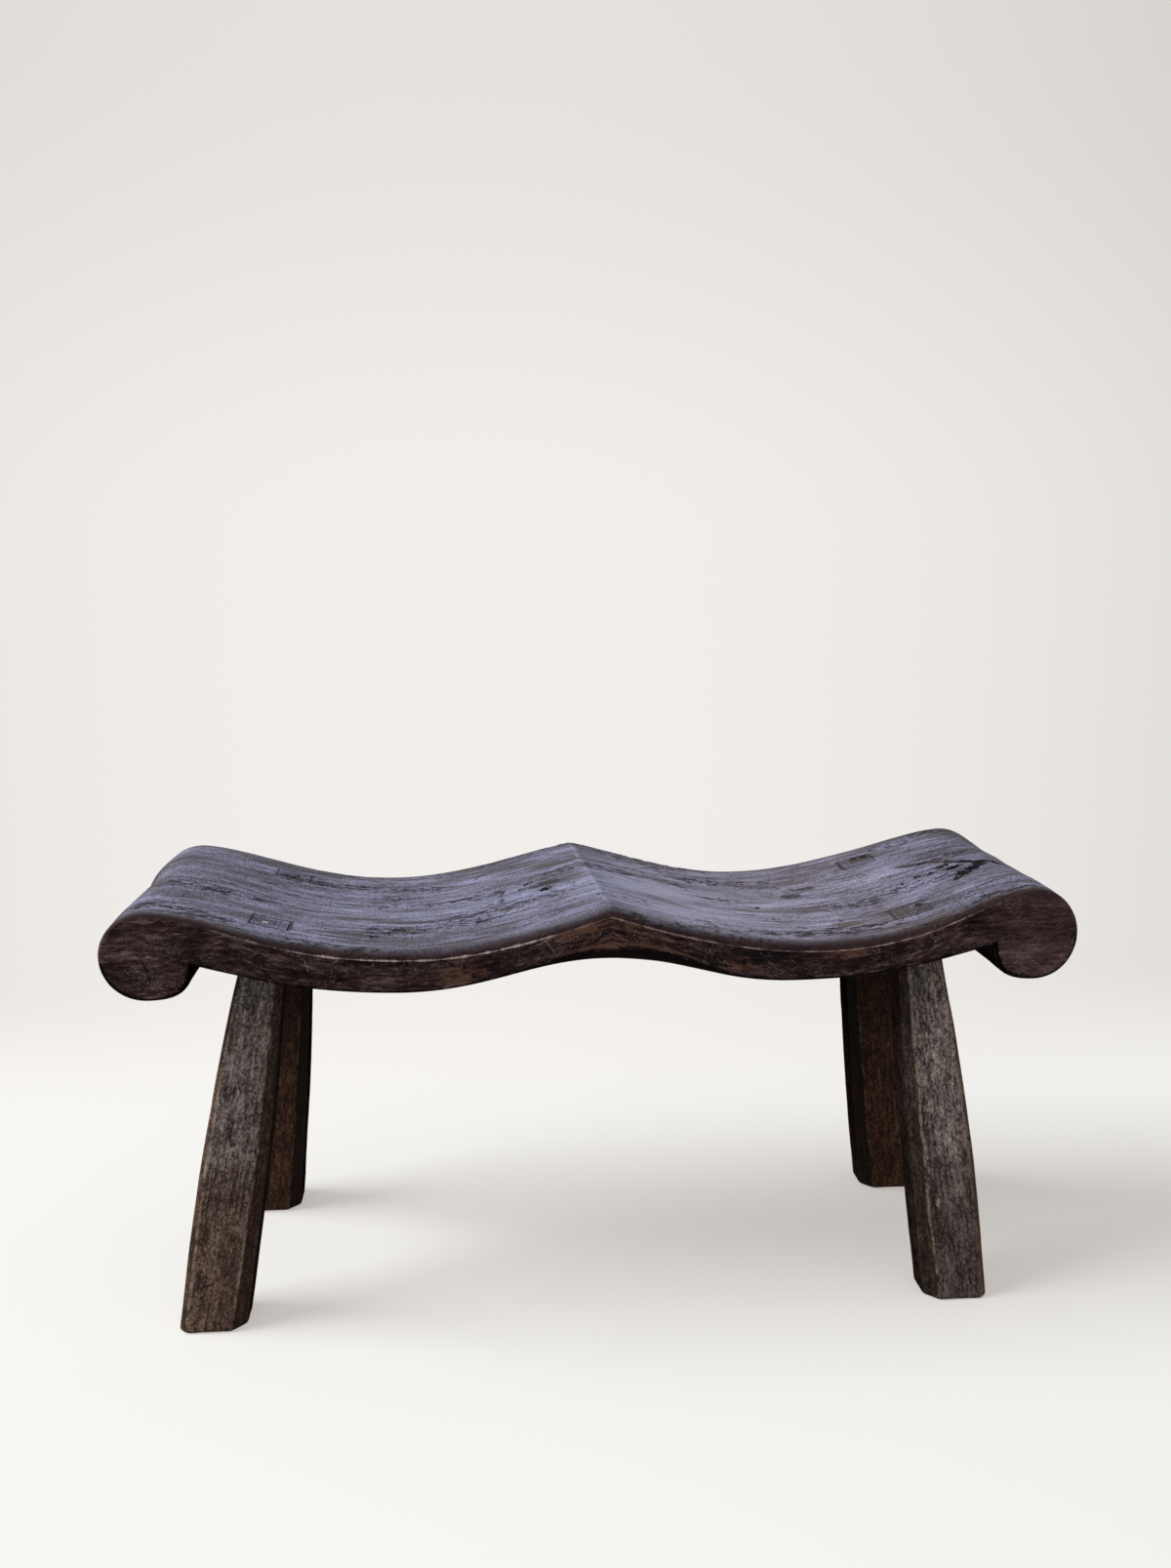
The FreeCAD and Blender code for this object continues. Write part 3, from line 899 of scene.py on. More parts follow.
class Corner:
    """Where one leg, its wedges and its peg stand, read from their solids."""

    def __init__(self, name):
        self.name = name
        leg_low, leg_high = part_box(f"leg_{name}")
        peg_low, peg_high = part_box(f"peg_{name}")
        wedge_low, wedge_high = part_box(f"kerf_wedge_{name}")
        peg, wedge = (peg_low + peg_high) / 2, (wedge_low + wedge_high) / 2
        self.side = LEFT if peg.x < 0 else RIGHT
        self.end = FRONT if peg.y < 0 else REAR
        outermost = max(abs(leg_low.x), abs(leg_high.x))
        self.foot = Vector((
            self.side * (outermost - FOOT_WIDTH / 2), self.end * (SEAT_DEPTH - FOOT_DEPTH) / 2, 0.0,
        ))
        self.lean = Vector(((peg.x - self.foot.x) / peg.z, (wedge.y - self.foot.y) / wedge.z, 1.0))
        self.middle = peg.z
        self.top = wedge_high.z
        self.number = CORNERS.index(name)
        self.peg_radius = (peg_high.z - peg_low.z) / 2
        self.peg_length = peg_high.y - peg_low.y
        self.peg_start = (peg.x, peg_low.y if self.end == REAR else peg_high.y, peg.z)

    def axis(self, z):
        """The leg's axis at a height."""
        return self.foot + self.lean * z

    def prism(self, low, high, low_size, high_size, offset=0.0):
        """A four-sided prism along the axis, moved along X towards the bench's middle by the offset."""
        points = []
        for z, (length, width) in ((low, low_size), (high, high_size)):
            centre = self.axis(z) - Vector((self.side * offset, 0, 0))
            for x, y in ((-1, -1), (1, -1), (1, 1), (-1, 1)):
                points.append(centre + Vector((x * length / 2, y * width / 2, 0)))
        faces = [(3, 2, 1, 0), (4, 5, 6, 7)]
        faces += [(i, (i + 1) % 4, (i + 1) % 4 + 4, i + 4) for i in range(4)]
        return mesh_of("prism", points, faces)

    def tenon(self, gap=0.0):
        """The tenon's stock, or with a gap round it the longer cutter for its mortise."""
        size = (TENON_LENGTH + 2 * gap, TENON_WIDTH + 2 * gap)
        low = self.middle - TENON_ROOT if gap == 0 else self.middle - 2 * TENON_ROOT
        return self.prism(low, self.top + TENON_ROOT, size, size)

    def wedge(self, thickness, offset, gap=0.0):
        """A wedge as wide as the tenon, thin at its tip and running on above the seat."""
        taper = (thickness - WEDGE_TIP_THICKNESS) / WEDGE_DEPTH
        head = thickness + taper * WEDGE_SPARE
        tip_size = (WEDGE_TIP_THICKNESS + 2 * gap, TENON_WIDTH + 2 * gap)
        head_size = (head + 2 * gap, TENON_WIDTH + 2 * gap)
        return self.prism(self.top - WEDGE_DEPTH - gap, self.top + WEDGE_SPARE, tip_size, head_size, offset)

    def kerf_wedge(self, gap=0.0):
        return self.wedge(KERF_WEDGE_THICKNESS, KERF_OFFSET, gap)

    def end_wedge(self, gap=0.0):
        return self.wedge(2 * END_WEDGE_THICKNESS, TENON_LENGTH / 2, gap)

    def peg_hole(self, gap):
        """A round cutter on the peg's line, run out past the seat's long edge."""
        radius = self.peg_radius + gap
        sides = PEG_HOLE_SIDES
        x, inner, z = self.peg_start
        outer = self.end * SEAT_DEPTH
        points = [
            (x + radius * math.cos(turn), y, z + radius * math.sin(turn))
            for y in (min(inner, outer), max(inner, outer))
            for turn in (2 * math.pi * i / sides for i in range(sides))
        ]
        faces = [tuple(range(sides)), tuple(reversed(range(sides, 2 * sides)))]
        faces += [(i, i + sides, (i + 1) % sides + sides, (i + 1) % sides) for i in range(sides)]
        return mesh_of("peg hole", points, faces)


def leg_rule(legs):
    """A hewn leg: a rectangle with cut corners that swells down its leaning axis."""
    hewn = picked(
        legs, "points_around", "points_along", "inner_top_chamfer", "inner_chamfer", "outer_chamfer",
        "bow", "hewing_depth", "foot_round",
    )
    rule = Rule(
        "Hewn leg", height=SEAT_HEIGHT, foot=(0.0, 0.0, 0.0), lean=(0.0, 0.0, 1.0), inward=1.0, seed=1.0,
        top_width=LEG_TOP_WIDTH, top_depth=LEG_TOP_DEPTH, top_chamfer=LEG_TOP_CHAMFER,
        foot_width=FOOT_WIDTH, foot_depth=FOOT_DEPTH, swell=LEG_SWELL, **hewn,
    )
    # A sheet of points, wrapped round the axis; its first and last rows close the ends
    around, along = rule.size("points_around"), rule.size("points_along")
    grid = rule.add("GeometryNodeMeshGrid", {0: 1.0, 1: 1.0, 2: around, 3: along})
    across, up, _ = rule.split(rule.position())
    turn = (across + 0.5) * (2 * math.pi)
    row = (up + 0.5) * (along - 1)
    rim = rule.least(row, along - 1 - row, 1.0)
    rise = rule.least(rule.most((row - 1) / (along - 3), 0.0), 1.0) ** LEG_CROWDING
    height, seed = rule.size("height"), rule.size("seed")
    z = rise * height
    swell = 1 - rise ** rule.size("swell")

    def between(top, foot, share):
        return top + (foot - top) * share

    # The section at each height: flat sides, and corners cut by a wandering chamfer
    half_width = between(rule.size("top_width"), rule.size("foot_width"), swell) * 0.5
    half_depth = between(rule.size("top_depth"), rule.size("foot_depth"), swell) * 0.5
    cosine, sine = rule.math("COSINE", turn), rule.math("SINE", turn)
    quarter = rule.vector(rule.math("SIGN", cosine) * 3, rule.math("SIGN", sine) * 5, z * 14)
    wander = rule.noise(quarter, seed, detail=2.0) * 0.7 + 0.65
    inner = rule.ramp(cosine * rule.size("inward"), -0.1, 0.1)
    foot_chamfer = between(rule.size("outer_chamfer"), rule.size("inner_chamfer"), inner)
    top_chamfer = between(rule.size("top_chamfer"), rule.size("inner_top_chamfer"), inner)
    chamfer = between(top_chamfer, foot_chamfer, 1 - rise) * wander
    crisp = LEG_CRISPNESS
    flat_sides = abs(cosine) ** crisp + (abs(sine) * half_width / half_depth) ** crisp
    girth = half_width + half_depth - chamfer
    cut_corner = (abs(cosine) + abs(sine)) * half_width / girth
    reach = half_width * (flat_sides + cut_corner ** crisp) ** (-1 / crisp)
    from_side, from_front = half_width - abs(cosine) * reach, half_depth - abs(sine) * reach
    from_cut = (girth - (abs(cosine) + abs(sine)) * reach) / math.sqrt(2)
    edge = rule.most(from_front, rule.least(from_side, from_cut))

    # Tool marks, nicks along the arrises and the worn sole
    local = rule.vector(cosine * reach, sine * reach, z)
    facets = rule.cells(rule.scaled(local, HEWN_FACETS), "SMOOTH_F1") - 0.4
    ripple = rule.noise(rule.scaled(local, HEWN_RIPPLES), seed, detail=3.0) - 0.5
    nicks = rule.ramp(rule.noise(rule.times(local, HEWN_NICKS), seed + 9.0, detail=3.0), 0.55, 0.70)
    nicks = nicks * rule.ramp(edge, 0.005, 0.0)
    reach = reach + (facets * 0.7 + ripple * 0.8 - nicks * 1.1) * rule.size("hewing_depth")
    foot_round = rule.size("foot_round")
    reach = reach - foot_round * rule.most(1 - z / foot_round, 0.0) ** 2.0

    # Bowed outwards and set on the leaning axis
    outward = rule.size("inward") * -0.5
    bow = rule.math("SINE", rise * math.pi) * rule.size("bow") * (outward + cosine * 0.5)
    foot_x, foot_y, _ = rule.split(rule.size("foot"))
    lean_x, lean_y, _ = rule.split(rule.size("lean"))
    place = rule.vector(
        foot_x + lean_x * z + (cosine * reach + bow) * rim, foot_y + lean_y * z + sine * reach * rim, z,
    )
    marked = rule.add(
        "GeometryNodeStoreNamedAttribute", {"Geometry": rule.term(grid), "Name": "edge", "Value": edge},
        data_type="FLOAT", domain="POINT",
    )
    moved = rule.add("GeometryNodeSetPosition", {"Geometry": rule.term(marked), "Position": place})
    closed = rule.add("GeometryNodeMergeByDistance", {"Geometry": rule.term(moved), "Distance": LEG_WELD})
    rule.end(rule.term(closed))
    return rule


def leg_marks(mesh, corner, legs):
    """Marks a leg's points with their place in the hewn stock, their height and the leg's warmth."""
    points = places(mesh)
    z = points[:, 2]
    stock = points - np.array(corner.foot) - z[:, None] * np.array(corner.lean)
    stock[:, 2] = z + corner.number * LEG_PATTERN_STEP
    mark(
        mesh, stock=stock, height=z, tenon=(z > corner.middle).astype(float),
        warmth=np.full(len(points), legs.warmth[corner.number]),
    )


def peg_rule(joints):
    """A whittled peg along Y with a softly domed head."""
    rule = Rule(
        "Whittled peg", radius=0.0055, length=0.08, inner_end=(0.0, 0.0, 0.0), outward=1.0,
        whittle_depth=PEG_WHITTLE, dome=joints.peg_dome, seed=1.0,
    )
    radius, length = rule.size("radius"), rule.size("length")
    counts = {"Vertices": PEG_SIDES, "Side Segments": PEG_ROWS, "Fill Segments": PEG_RINGS}
    rod = rule.add("GeometryNodeMeshCylinder", {**counts, "Radius": radius, "Depth": length})
    x, y, z = rule.split(rule.position())
    away = rule.math("SQRT", x * x + y * y)
    share = z / length + 0.5
    flats = rule.noise(rule.vector(x * 190, y * 190, z * 40), rule.size("seed"), detail=1.0) - 0.5
    thinner = 1 + flats * rule.size("whittle_depth") / radius
    dome = rule.size("dome") * (1 - (away / radius) ** 2.0) * rule.ramp(share, 0.9, 1.0)
    start_x, start_y, start_z = rule.split(rule.size("inner_end"))
    place = rule.vector(
        start_x + x * thinner,
        start_y + rule.size("outward") * (share * length + dome),
        start_z + y * thinner,
    )
    moved = rule.add("GeometryNodeSetPosition", {"Geometry": rule.term(rod), "Position": place})
    rule.end(rule.term(moved))
    return rule


class Finish(Wiring):
    """A material's tree, from places and marks on a piece to its shader."""

    def __init__(self, name):
        self.material = bpy.data.materials.new(name)
        self.material.use_nodes = True
        super().__init__(self.material.node_tree)
        self.shader = self.tree.nodes["Principled BSDF"]
        self.place = self.term(self.add("ShaderNodeTexCoord"), "Object")

    def mark(self, name, output="Fac"):
        return self.term(self.add("ShaderNodeAttribute", attribute_name=name), output)

    def facing(self, output="Normal"):
        """The direction that the surface faces, as X, Y and Z from -1 to 1."""
        return self.split(self.term(self.add("ShaderNodeNewGeometry"), output))

    def to_the_middle(self):
        """How far the surface faces the middle of the bench along X, from -1 to 1."""
        x = self.split(self.place)[0]
        return self.facing("True Normal")[0] * self.math("SIGN", x) * -1.0

    def patch(self, x, y, z, half_length, half_width):
        """1 at the centre of a patch of the sitting surface, falling to 0 at its half sizes."""
        return self.spot(self.place, (x, y, z), (half_length, half_width, PATCH_HEIGHT))

    def ragged(self):
        """Noise that frays the outlines of worn and cracked places."""
        return self.noise(self.scaled(self.place, RAGGED_WAVES), 15.0, detail=3.0, roughness=0.65)

    def tone(self, *layers):
        """A tone about 0.5, swung to either side by each layer's noise and its strength."""
        total = 0.5
        for noise, strength in layers:
            total = (noise - 0.5) * strength + total
        return total

    def dress(self, colour, roughness, relief, relief_depth, gloss):
        """Joins colour, roughness and relief to the shader."""
        self.feed(self.shader.inputs["Base Color"], colour)
        self.feed(self.shader.inputs["Roughness"], roughness)
        self.feed(self.shader.inputs["Specular IOR Level"], gloss)
        bump = self.add("ShaderNodeBump", {"Height": relief, "Distance": relief_depth, "Strength": 1.0})
        self.tree.links.new(bump.outputs[0], self.shader.inputs["Normal"])
        return self.material


def worn_through(finish, seat, colour):
    """Patches with frayed outlines worn through the patina: the colour with them, and their share."""
    flecks = finish.noise(finish.scaled(finish.place, FLECK_WAVES), 18.0, detail=3.0, roughness=0.65)
    frayed = (finish.ragged() - 0.5) * 1.4 + (flecks - 0.5) * 2.0
    bare = 0.0
    for x, y, half_length, half_width, darkness in WORN_PATCHES:
        worn = finish.patch(x, y, SEAT_HEIGHT, half_length * PATCH_SPREAD, half_width * PATCH_SPREAD)
        patch = finish.ramp(worn + frayed * min(half_length / FULL_FRAY, 1.0), 0.54, 0.78)
        patch = patch * finish.ramp(worn, 0.0, 0.15)
        shade = [tan + (deep - tan) * darkness for tan, deep in zip(seat.worn_tan, seat.deep_brown)]
        colour = finish.mix(patch * 0.9, colour, shade)
        bare = finish.most(bare, patch)
    return colour, bare


def stained_seams(finish, seat, colour, fuzz):
    """The colour with dark seams round the tenons, chewed wider at their inner ends."""
    x, y, _ = finish.split(finish.place)
    for corner, strength in zip(map(Corner, CORNERS), JOINT_STAINS):
        top = corner.axis(corner.top)
        beyond_x = abs(x - top.x) - TENON_LENGTH / 2
        beyond_y = (abs(y - top.y) - TENON_WIDTH / 2) * 0.5
        stain = finish.ramp(abs(finish.most(beyond_x, beyond_y)) + (fuzz - 0.5) * 0.002, 0.0012, 0.0005)
        inner_end = (top.x - x) * corner.side - TENON_LENGTH / 2
        chewed = finish.ramp(abs(inner_end - 0.0018) + (fuzz - 0.5) * 0.004, 0.0022, 0.0010)
        stain = finish.most(stain, chewed * finish.ramp(beyond_y, 0.001, -0.001))
        colour = finish.mix(stain * strength, colour, seat.deep_brown)
    return colour


def patina_and_sheen(finish, seat):
    """The blue-grey sitting surface, patina with a painted sheen of cold light, its grain along the bench:
    its colour, and its relief from 0 to 1.
    """
    x, y, _ = finish.split(finish.place)
    sway = finish.noise(finish.vector(x * 2.3, y * 6.0, 0.0), 2.0, detail=1.0) - 0.5
    y = y + sway * GRAIN_SWAY

    def grain(length, width, seed, detail=3.0, roughness=0.6):
        """Noise with marks of about this length along the grain and this width across it."""
        return finish.noise(finish.vector(x / length, y / width, 0.0), seed, detail, roughness)

    # The blue-grey ground in bands along the grain: patina, with a painted sheen of cold light in its
    # colour
    zones, bands = grain(0.26, 0.070, 1.0, 3.0), grain(0.15, 0.017, 4.0)
    streaks, fuzz = grain(0.060, 0.0070, 5.0, 4.0), grain(0.0090, 0.0070, 6.0, 2.0)
    speckle = grain(0.0022, 0.0050, 7.0, 2.0)
    tone = finish.tone((zones, 0.9), (bands, 1.0), (streaks, 1.5), (fuzz, 0.7), (speckle, 1.4))
    tone = (tone - 0.5) * finish.ramp(x, -0.10, -0.28, 1.0, 1.35) + 0.5
    # Painted sheen: places of the sitting surface made lighter or darker where reflected light falls on it
    for *patch, lift in SHEEN_PLACES:
        tone = finish.patch(*patch) * lift + tone
    colour = finish.tones(
        tone, (0.14, seat.deep_patina_and_sheen), (0.36, seat.dark_patina_and_sheen), (0.53, seat.patina_and_sheen),
        (0.72, seat.light_patina_and_sheen), (0.95, seat.violet_patina_and_sheen),
    )
    to_the_right = finish.ramp(x, 0.0, 0.10) * finish.ramp(x, 0.42, 0.34)
    colour = finish.mix(to_the_right, colour, finish.scaled(colour, RIGHT_WARMTH))

    # Brown rubbed through along the grain, with lines, pits and nicks
    dusty = finish.ramp(grain(0.22, 0.050, 11.0, 3.0), 0.48, 0.62) * finish.ramp(streaks, 0.66, 0.40)
    colour = finish.mix(dusty * 0.7, colour, seat.worn_brown)
    for *patch, strength in BROWN_PLACES:
        rubbed = finish.ramp(finish.patch(*patch) + (0.5 - streaks) * 2.4, 0.35, 0.80)
        colour = finish.mix(rubbed * strength, colour, seat.worn_brown)
    lines = finish.ramp(abs(grain(0.22, 0.019, 21.0, 2.0) - 0.5), 0.030, 0.006)
    lines = lines * finish.ramp(grain(0.08, 0.030, 22.0, 1.0), 0.46, 0.60)
    colour = finish.mix(lines * 0.75, colour, seat.worn_brown)
    pits = dash_pits(finish, finish.place, seat.seed)
    colour = finish.mix(pits * 0.85, colour, seat.deep_brown)
    nicks = finish.ramp(grain(0.012, 0.0038, 8.0, 2.0), 0.62, 0.68) * finish.ramp(bands, 0.56, 0.46)
    colour = finish.mix(nicks * 0.75, colour, seat.worn_brown)

    # The light crest of the ridge, then the patches and seams
    crest = x + y * (2 * RIDGE_SKEW / SEAT_DEPTH) + (streaks - 0.5) * 0.020
    crest = finish.ramp(abs(crest), 0.0036, 0.0012) * finish.ramp(grain(0.02, 0.014, 31.0), 0.42, 0.52)
    colour = finish.mix(crest * 0.6, colour, seat.violet_patina_and_sheen)
    colour, bare = worn_through(finish, seat, colour)
    colour = stained_seams(finish, seat, colour, fuzz)
    raised = streaks * 0.5 + fuzz * 0.4 + speckle * 0.3 + crest * 0.2
    relief = raised - pits * 0.7 - lines * 0.3 - bare * 0.3
    return colour, relief


def face_wood(finish, seat):
    """The dark brown of the slab's long faces and underside: its colour, and its relief from 0 to 1."""
    x, y, z = finish.split(finish.place)
    drop = finish.mark("drop")

    def grain(length, width, seed, detail=3.0, distortion=0.0):
        """Noise with marks of about this length along the slab's own curve and this width across it."""
        place = finish.vector(x / length, y / width, drop / width)
        return finish.noise(place, seed, detail, GRAIN_ROUGHNESS, distortion)

    # The dark ground, warmer in patches, calmer and lighter on the rolls' ends
    clouds, fibres = grain(0.070, 0.028, 3.0), grain(0.060, 0.0045, 4.0, 4.0)
    strokes, speckle = grain(0.013, 0.0034, 6.0, 3.0, 0.6), grain(0.0024, 0.0024, 9.0, 2.0)
    tone = finish.tone((clouds, 1.0), (fibres, 0.9), (strokes, 1.3), (speckle, 0.6))
    swing = finish.ramp(x, 0.40, 0.47, 1.0, 0.55) * finish.ramp(x, -0.40, -0.47, 1.0, 0.90)
    tone = (tone - 0.5) * swing + 0.5
    colour = finish.tones(
        tone, (0.20, seat.deep_brown), (0.42, seat.dark_brown),
        (0.60, seat.face_brown), (0.84, seat.dusty_brown),
    )
    warm = finish.ramp(finish.mark("warm") + (clouds - 0.5) * 1.6 + (fibres - 0.5) * 0.8, 0.30, 1.05)
    colour = finish.mix(warm * finish.ramp(tone, 0.30, 0.66) * 0.85, colour, seat.warm_brown)
    right_end, left_end = finish.ramp(x, 0.41, 0.47, 1.0, 1.78), finish.ramp(x, -0.42, -0.47, 1.0, 1.60)
    colour = finish.times(colour, right_end * left_end)

    # The knot in front, with a pale ring painted as the highlight on its raised rim
    in_front = finish.ramp(y, -0.10, -0.15)
    knot = finish.spot(finish.vector(x, z, 0.0), (*KNOT, 0.0), (KNOT_SIZE * 1.3, KNOT_SIZE, 1.0)) * in_front
    gnarled = knot + (grain(0.008, 0.006, 14.0, 3.0) - 0.5) * 1.3
    knot_rim = finish.ramp(abs(gnarled - 0.42), 0.13, 0.02) * finish.ramp(knot, 0.05, 0.35)
    colour = finish.mix(finish.ramp(gnarled, 0.45, 0.65) * knot * 0.8, colour, seat.deep_brown)
    colour = finish.mix(knot_rim * finish.ramp(strokes, 0.40, 0.60) * 0.8, colour, seat.dusty_brown)

    # Checks, hair scratches and curls
    checks = finish.most(*(finish.stroke(x, z, *check) for check in CHECKS)) * in_front
    hair = finish.most(*(finish.stroke(x, z, *scratch) for scratch in SCRATCHES)) * in_front
    slant, counter = x + drop * 1.6, x - drop * 1.1
    fine = finish.cells(finish.vector(slant * 150.0, drop * 26.0, 0.0), dimensions="2D")
    other = finish.cells(finish.vector(counter * 140.0, drop * 30.0, 0.0), dimensions="2D")
    few = finish.ramp(grain(0.050, 0.030, 13.0, 2.0), 0.58, 0.70)
    hair = finish.most(hair, finish.ramp(finish.least(fine, other), 0.14, 0.04) * few * 0.5)
    colour = finish.mix(hair * 0.55, colour, seat.pale_wear_and_highlight)
    curls = finish.noise(finish.vector(x * 85.0, y * 85.0, drop * 120.0), 33.0, 2.0, 0.6, 1.6)
    curls = finish.ramp(abs(curls - 0.5), 0.030, 0.006)
    curls = curls * finish.ramp(grain(0.035, 0.026, 34.0, 2.0), 0.47, 0.60)
    colour = finish.mix(curls * 0.22, colour, seat.pale_wear_and_highlight)
    colour = finish.mix(checks * 0.9, colour, seat.deep_brown)

    # The lower edge painted dark as the shade where it is cut back, broadest under the ridge and rimmed
    # with warmer wood there
    reach = finish.ramp(abs(x - 0.035), 0.13, 0.01, 0.0030, 0.0130)
    lower = finish.mark("lower") + (strokes - 0.5) * 0.006 + (clouds - 0.5) * 0.005
    rim = finish.ramp(abs(lower - reach * 1.12), 0.0022, 0.0006) * finish.ramp(reach, 0.005, 0.011)
    colour = finish.mix(rim * 0.7, colour, seat.warm_brown)
    painted_lower_shade = finish.ramp(lower, reach, reach * 0.7)
    colour = finish.mix(painted_lower_shade * 0.96, colour, finish.times(finish.vector(*seat.deep_brown), 0.6))
    raised = fibres * 0.35 + strokes * 0.5 + speckle * 0.2 + knot_rim * 0.6 + curls * 0.25
    relief = raised - checks * 0.8 - hair * 0.15
    return colour, relief


def cracked(finish, seat, top):
    """The sitting surface with its long crack and chips: its colour, and the share of the dark cuts."""
    ragged = finish.ragged()
    way, aside = finish.mark("crack_way"), finish.mark("crack_aside")
    within = finish.ramp(abs(way - 0.5), 0.52, 0.46)
    aside = abs(aside + (ragged - 0.5) * 0.004)
    trough = finish.ramp(aside, 0.0075, 0.0030) * finish.ramp(way, 0.46, 0.30) * within
    split_width = way * 0.0022 + 0.0022
    split = finish.ramp(aside, split_width, split_width * 0.6) * within
    fibre = finish.mix(finish.ramp(ragged, 0.42, 0.60), seat.deep_brown, seat.worn_tan)
    top = finish.mix(trough * 0.9, top, fibre)
    splinters = finish.scaled(finish.place, SPLINTER_WAVES)
    splinters = finish.noise(splinters, 16.0, detail=3.0, roughness=0.7)
    chipped = finish.ramp(finish.mark("gouge") * 620.0 + (splinters - 0.5) * 3.2, 0.52, 0.62)
    chipped = chipped * finish.ramp(trough, 0.3, 0.0)
    dark_cut = finish.most(chipped, split * finish.ramp(trough, 1.0, 0.0, 0.4, 1.0))
    return finish.mix(dark_cut * 0.95, top, seat.deep_brown), dark_cut


def pale_arris(finish, seat, colour, arris, crown):
    """The colour with a broken pale line along the front and rear arris, partly wear and partly painted
    highlight, redder on the right.
    """
    x, y, _ = finish.split(finish.place)
    broken = finish.noise(finish.vector(x * 60.0, y * 10.0, 0.0), 19.0, detail=5.0, roughness=0.75)
    between_rolls = finish.ramp(x, 0.47, 0.41) * finish.ramp(x, -0.46, -0.27, 0.0, 1.0)
    between_rolls = between_rolls * finish.ramp(abs(x + 0.020), 0.015, 0.050, 0.25, 1.0)
    narrower = 1 - finish.ramp(x, 0.03, 0.20) * 0.4
    line_width = finish.ramp(broken, 0.36, 0.70, 0.0003, 0.0026) * narrower
    pale = finish.ramp(abs(arris + 0.0003), line_width, line_width * 0.4) * between_rolls
    pale = pale * finish.ramp(crown, 0.80, 0.97) * finish.ramp(broken, 0.30, 0.62, 0.25, 0.85)
    to_the_left = finish.ramp(x, 0.05, -0.08)
    return finish.mix(pale, colour, finish.mix(to_the_left, seat.red_wear_and_highlight, seat.pale_wear_and_highlight))


def seat_wood(seat):
    """Blue-grey worn top with a painted sheen, brown rounded edges with a pale arris, partly painted
    highlight, and dark brown faces.
    """
    finish = Finish("seat wood")
    x, y, _ = finish.split(finish.place)
    arris, crown = finish.mark("arris"), finish.mark("crown")
    top, top_relief = patina_and_sheen(finish, seat)
    face, face_relief = face_wood(finish, seat)
    top, dark_cut = cracked(finish, seat, top)

    # From the top over the rounded edge to the faces
    wander = (finish.noise(finish.vector(x * 24.0, y * 30.0, 0.0), 17.0, detail=3.0) - 0.5) * 0.010
    rolled = finish.ramp(crown, 0.25, 0.75)
    dulled = finish.ramp(arris + wander, seat.edge_round * 3.4, seat.edge_round * 0.9)
    top = finish.mix(dulled * 0.6, top, seat.worn_brown)
    band = seat.edge_round * (finish.ramp(x, 0.03, 0.20) * 0.4 + 0.35)
    into_top = finish.ramp(arris + wander * 0.7, band * 0.55, band + seat.edge_round * 1.1) * rolled
    edge = finish.mix(finish.ramp(face_relief, 0.45, 0.75), seat.edge_brown, seat.face_brown)
    skin = finish.mix(into_top, edge, top)
    skin = finish.mix(finish.ramp(crown, 0.45, 0.05), skin, face)
    colour = finish.mix(finish.ramp(arris, -0.0004, 0.0006), face, skin)
    colour = pale_arris(finish, seat, colour, arris, crown)

    # The inner sides of the rolls, painted dark as shade
    painted_roll_shade = finish.ramp(finish.to_the_middle(), 0.2, 0.6) * finish.ramp(crown, 0.3, 0.0)
    painted_roll_shade = painted_roll_shade * finish.ramp(abs(x), 0.37, 0.40)
    colour = finish.mix(painted_roll_shade * 0.95, colour, finish.times(face, 0.20))
    on_top = finish.ramp(arris, 0.0, 0.004) * rolled
    roughness = 0.62 - on_top * 0.08 + top_relief * 0.10
    relief = face_relief + (top_relief - dark_cut * 0.8 - face_relief) * on_top
    gloss = (1 - finish.most(painted_roll_shade, dark_cut * 0.9)) * (on_top * into_top * 0.07 + 0.03)
    return finish.dress(colour, roughness, relief, SEAT_RELIEF, gloss)


def leg_with_painted_shade(finish, colour, brown, clouds):
    """Cut corners and inner sides painted with light and shade, rear legs browner and painted darker under
    the seat: colour, inner sides, rear legs.
    """
    height, behind = finish.mark("height"), finish.ramp(finish.mark("warmth"), 0.9, 1.4)
    facing_x, facing_y, _ = finish.facing("True Normal")
    x = finish.split(finish.place)[0]
    to_the_middle = finish.to_the_middle()
    cut = finish.ramp(finish.least(abs(facing_x), abs(facing_y)), 0.25, 0.50)
    # Painted light and shade: outer cut corners lighter on the right legs and darker on the left, inner
    # ones dark, darkest on the right and rear legs
    painted_inner_cut_shade = finish.ramp(x, -0.1, 0.1, 0.42, 0.24) * (1 - behind * 0.8)
    painted_outer_cut_light = finish.ramp(x, -0.1, 0.1, 0.50, 1.40)
    painted_cut_shading = painted_inner_cut_shade + (painted_outer_cut_light - painted_inner_cut_shade) * finish.ramp(to_the_middle, 0.1, -0.1)
    colour = finish.mix(cut * 0.9, colour, finish.times(brown, painted_cut_shading))
    # Inner sides painted near black as shade
    inner = finish.ramp(to_the_middle, 0.80, 0.95)
    colour = finish.mix(inner * 0.9, colour, finish.times(brown, 0.14))
    colour = finish.mix(behind, colour, finish.scaled(colour, REAR_WARMTH))
    # Rear legs painted darker towards the top, as the shade under the seat
    painted_shade_under_seat = finish.ramp(height + (clouds - 0.5) * 0.2, 0.10, 0.34, 0.35, 0.75)
    return finish.times(colour, 1 - behind * painted_shade_under_seat), inner, behind


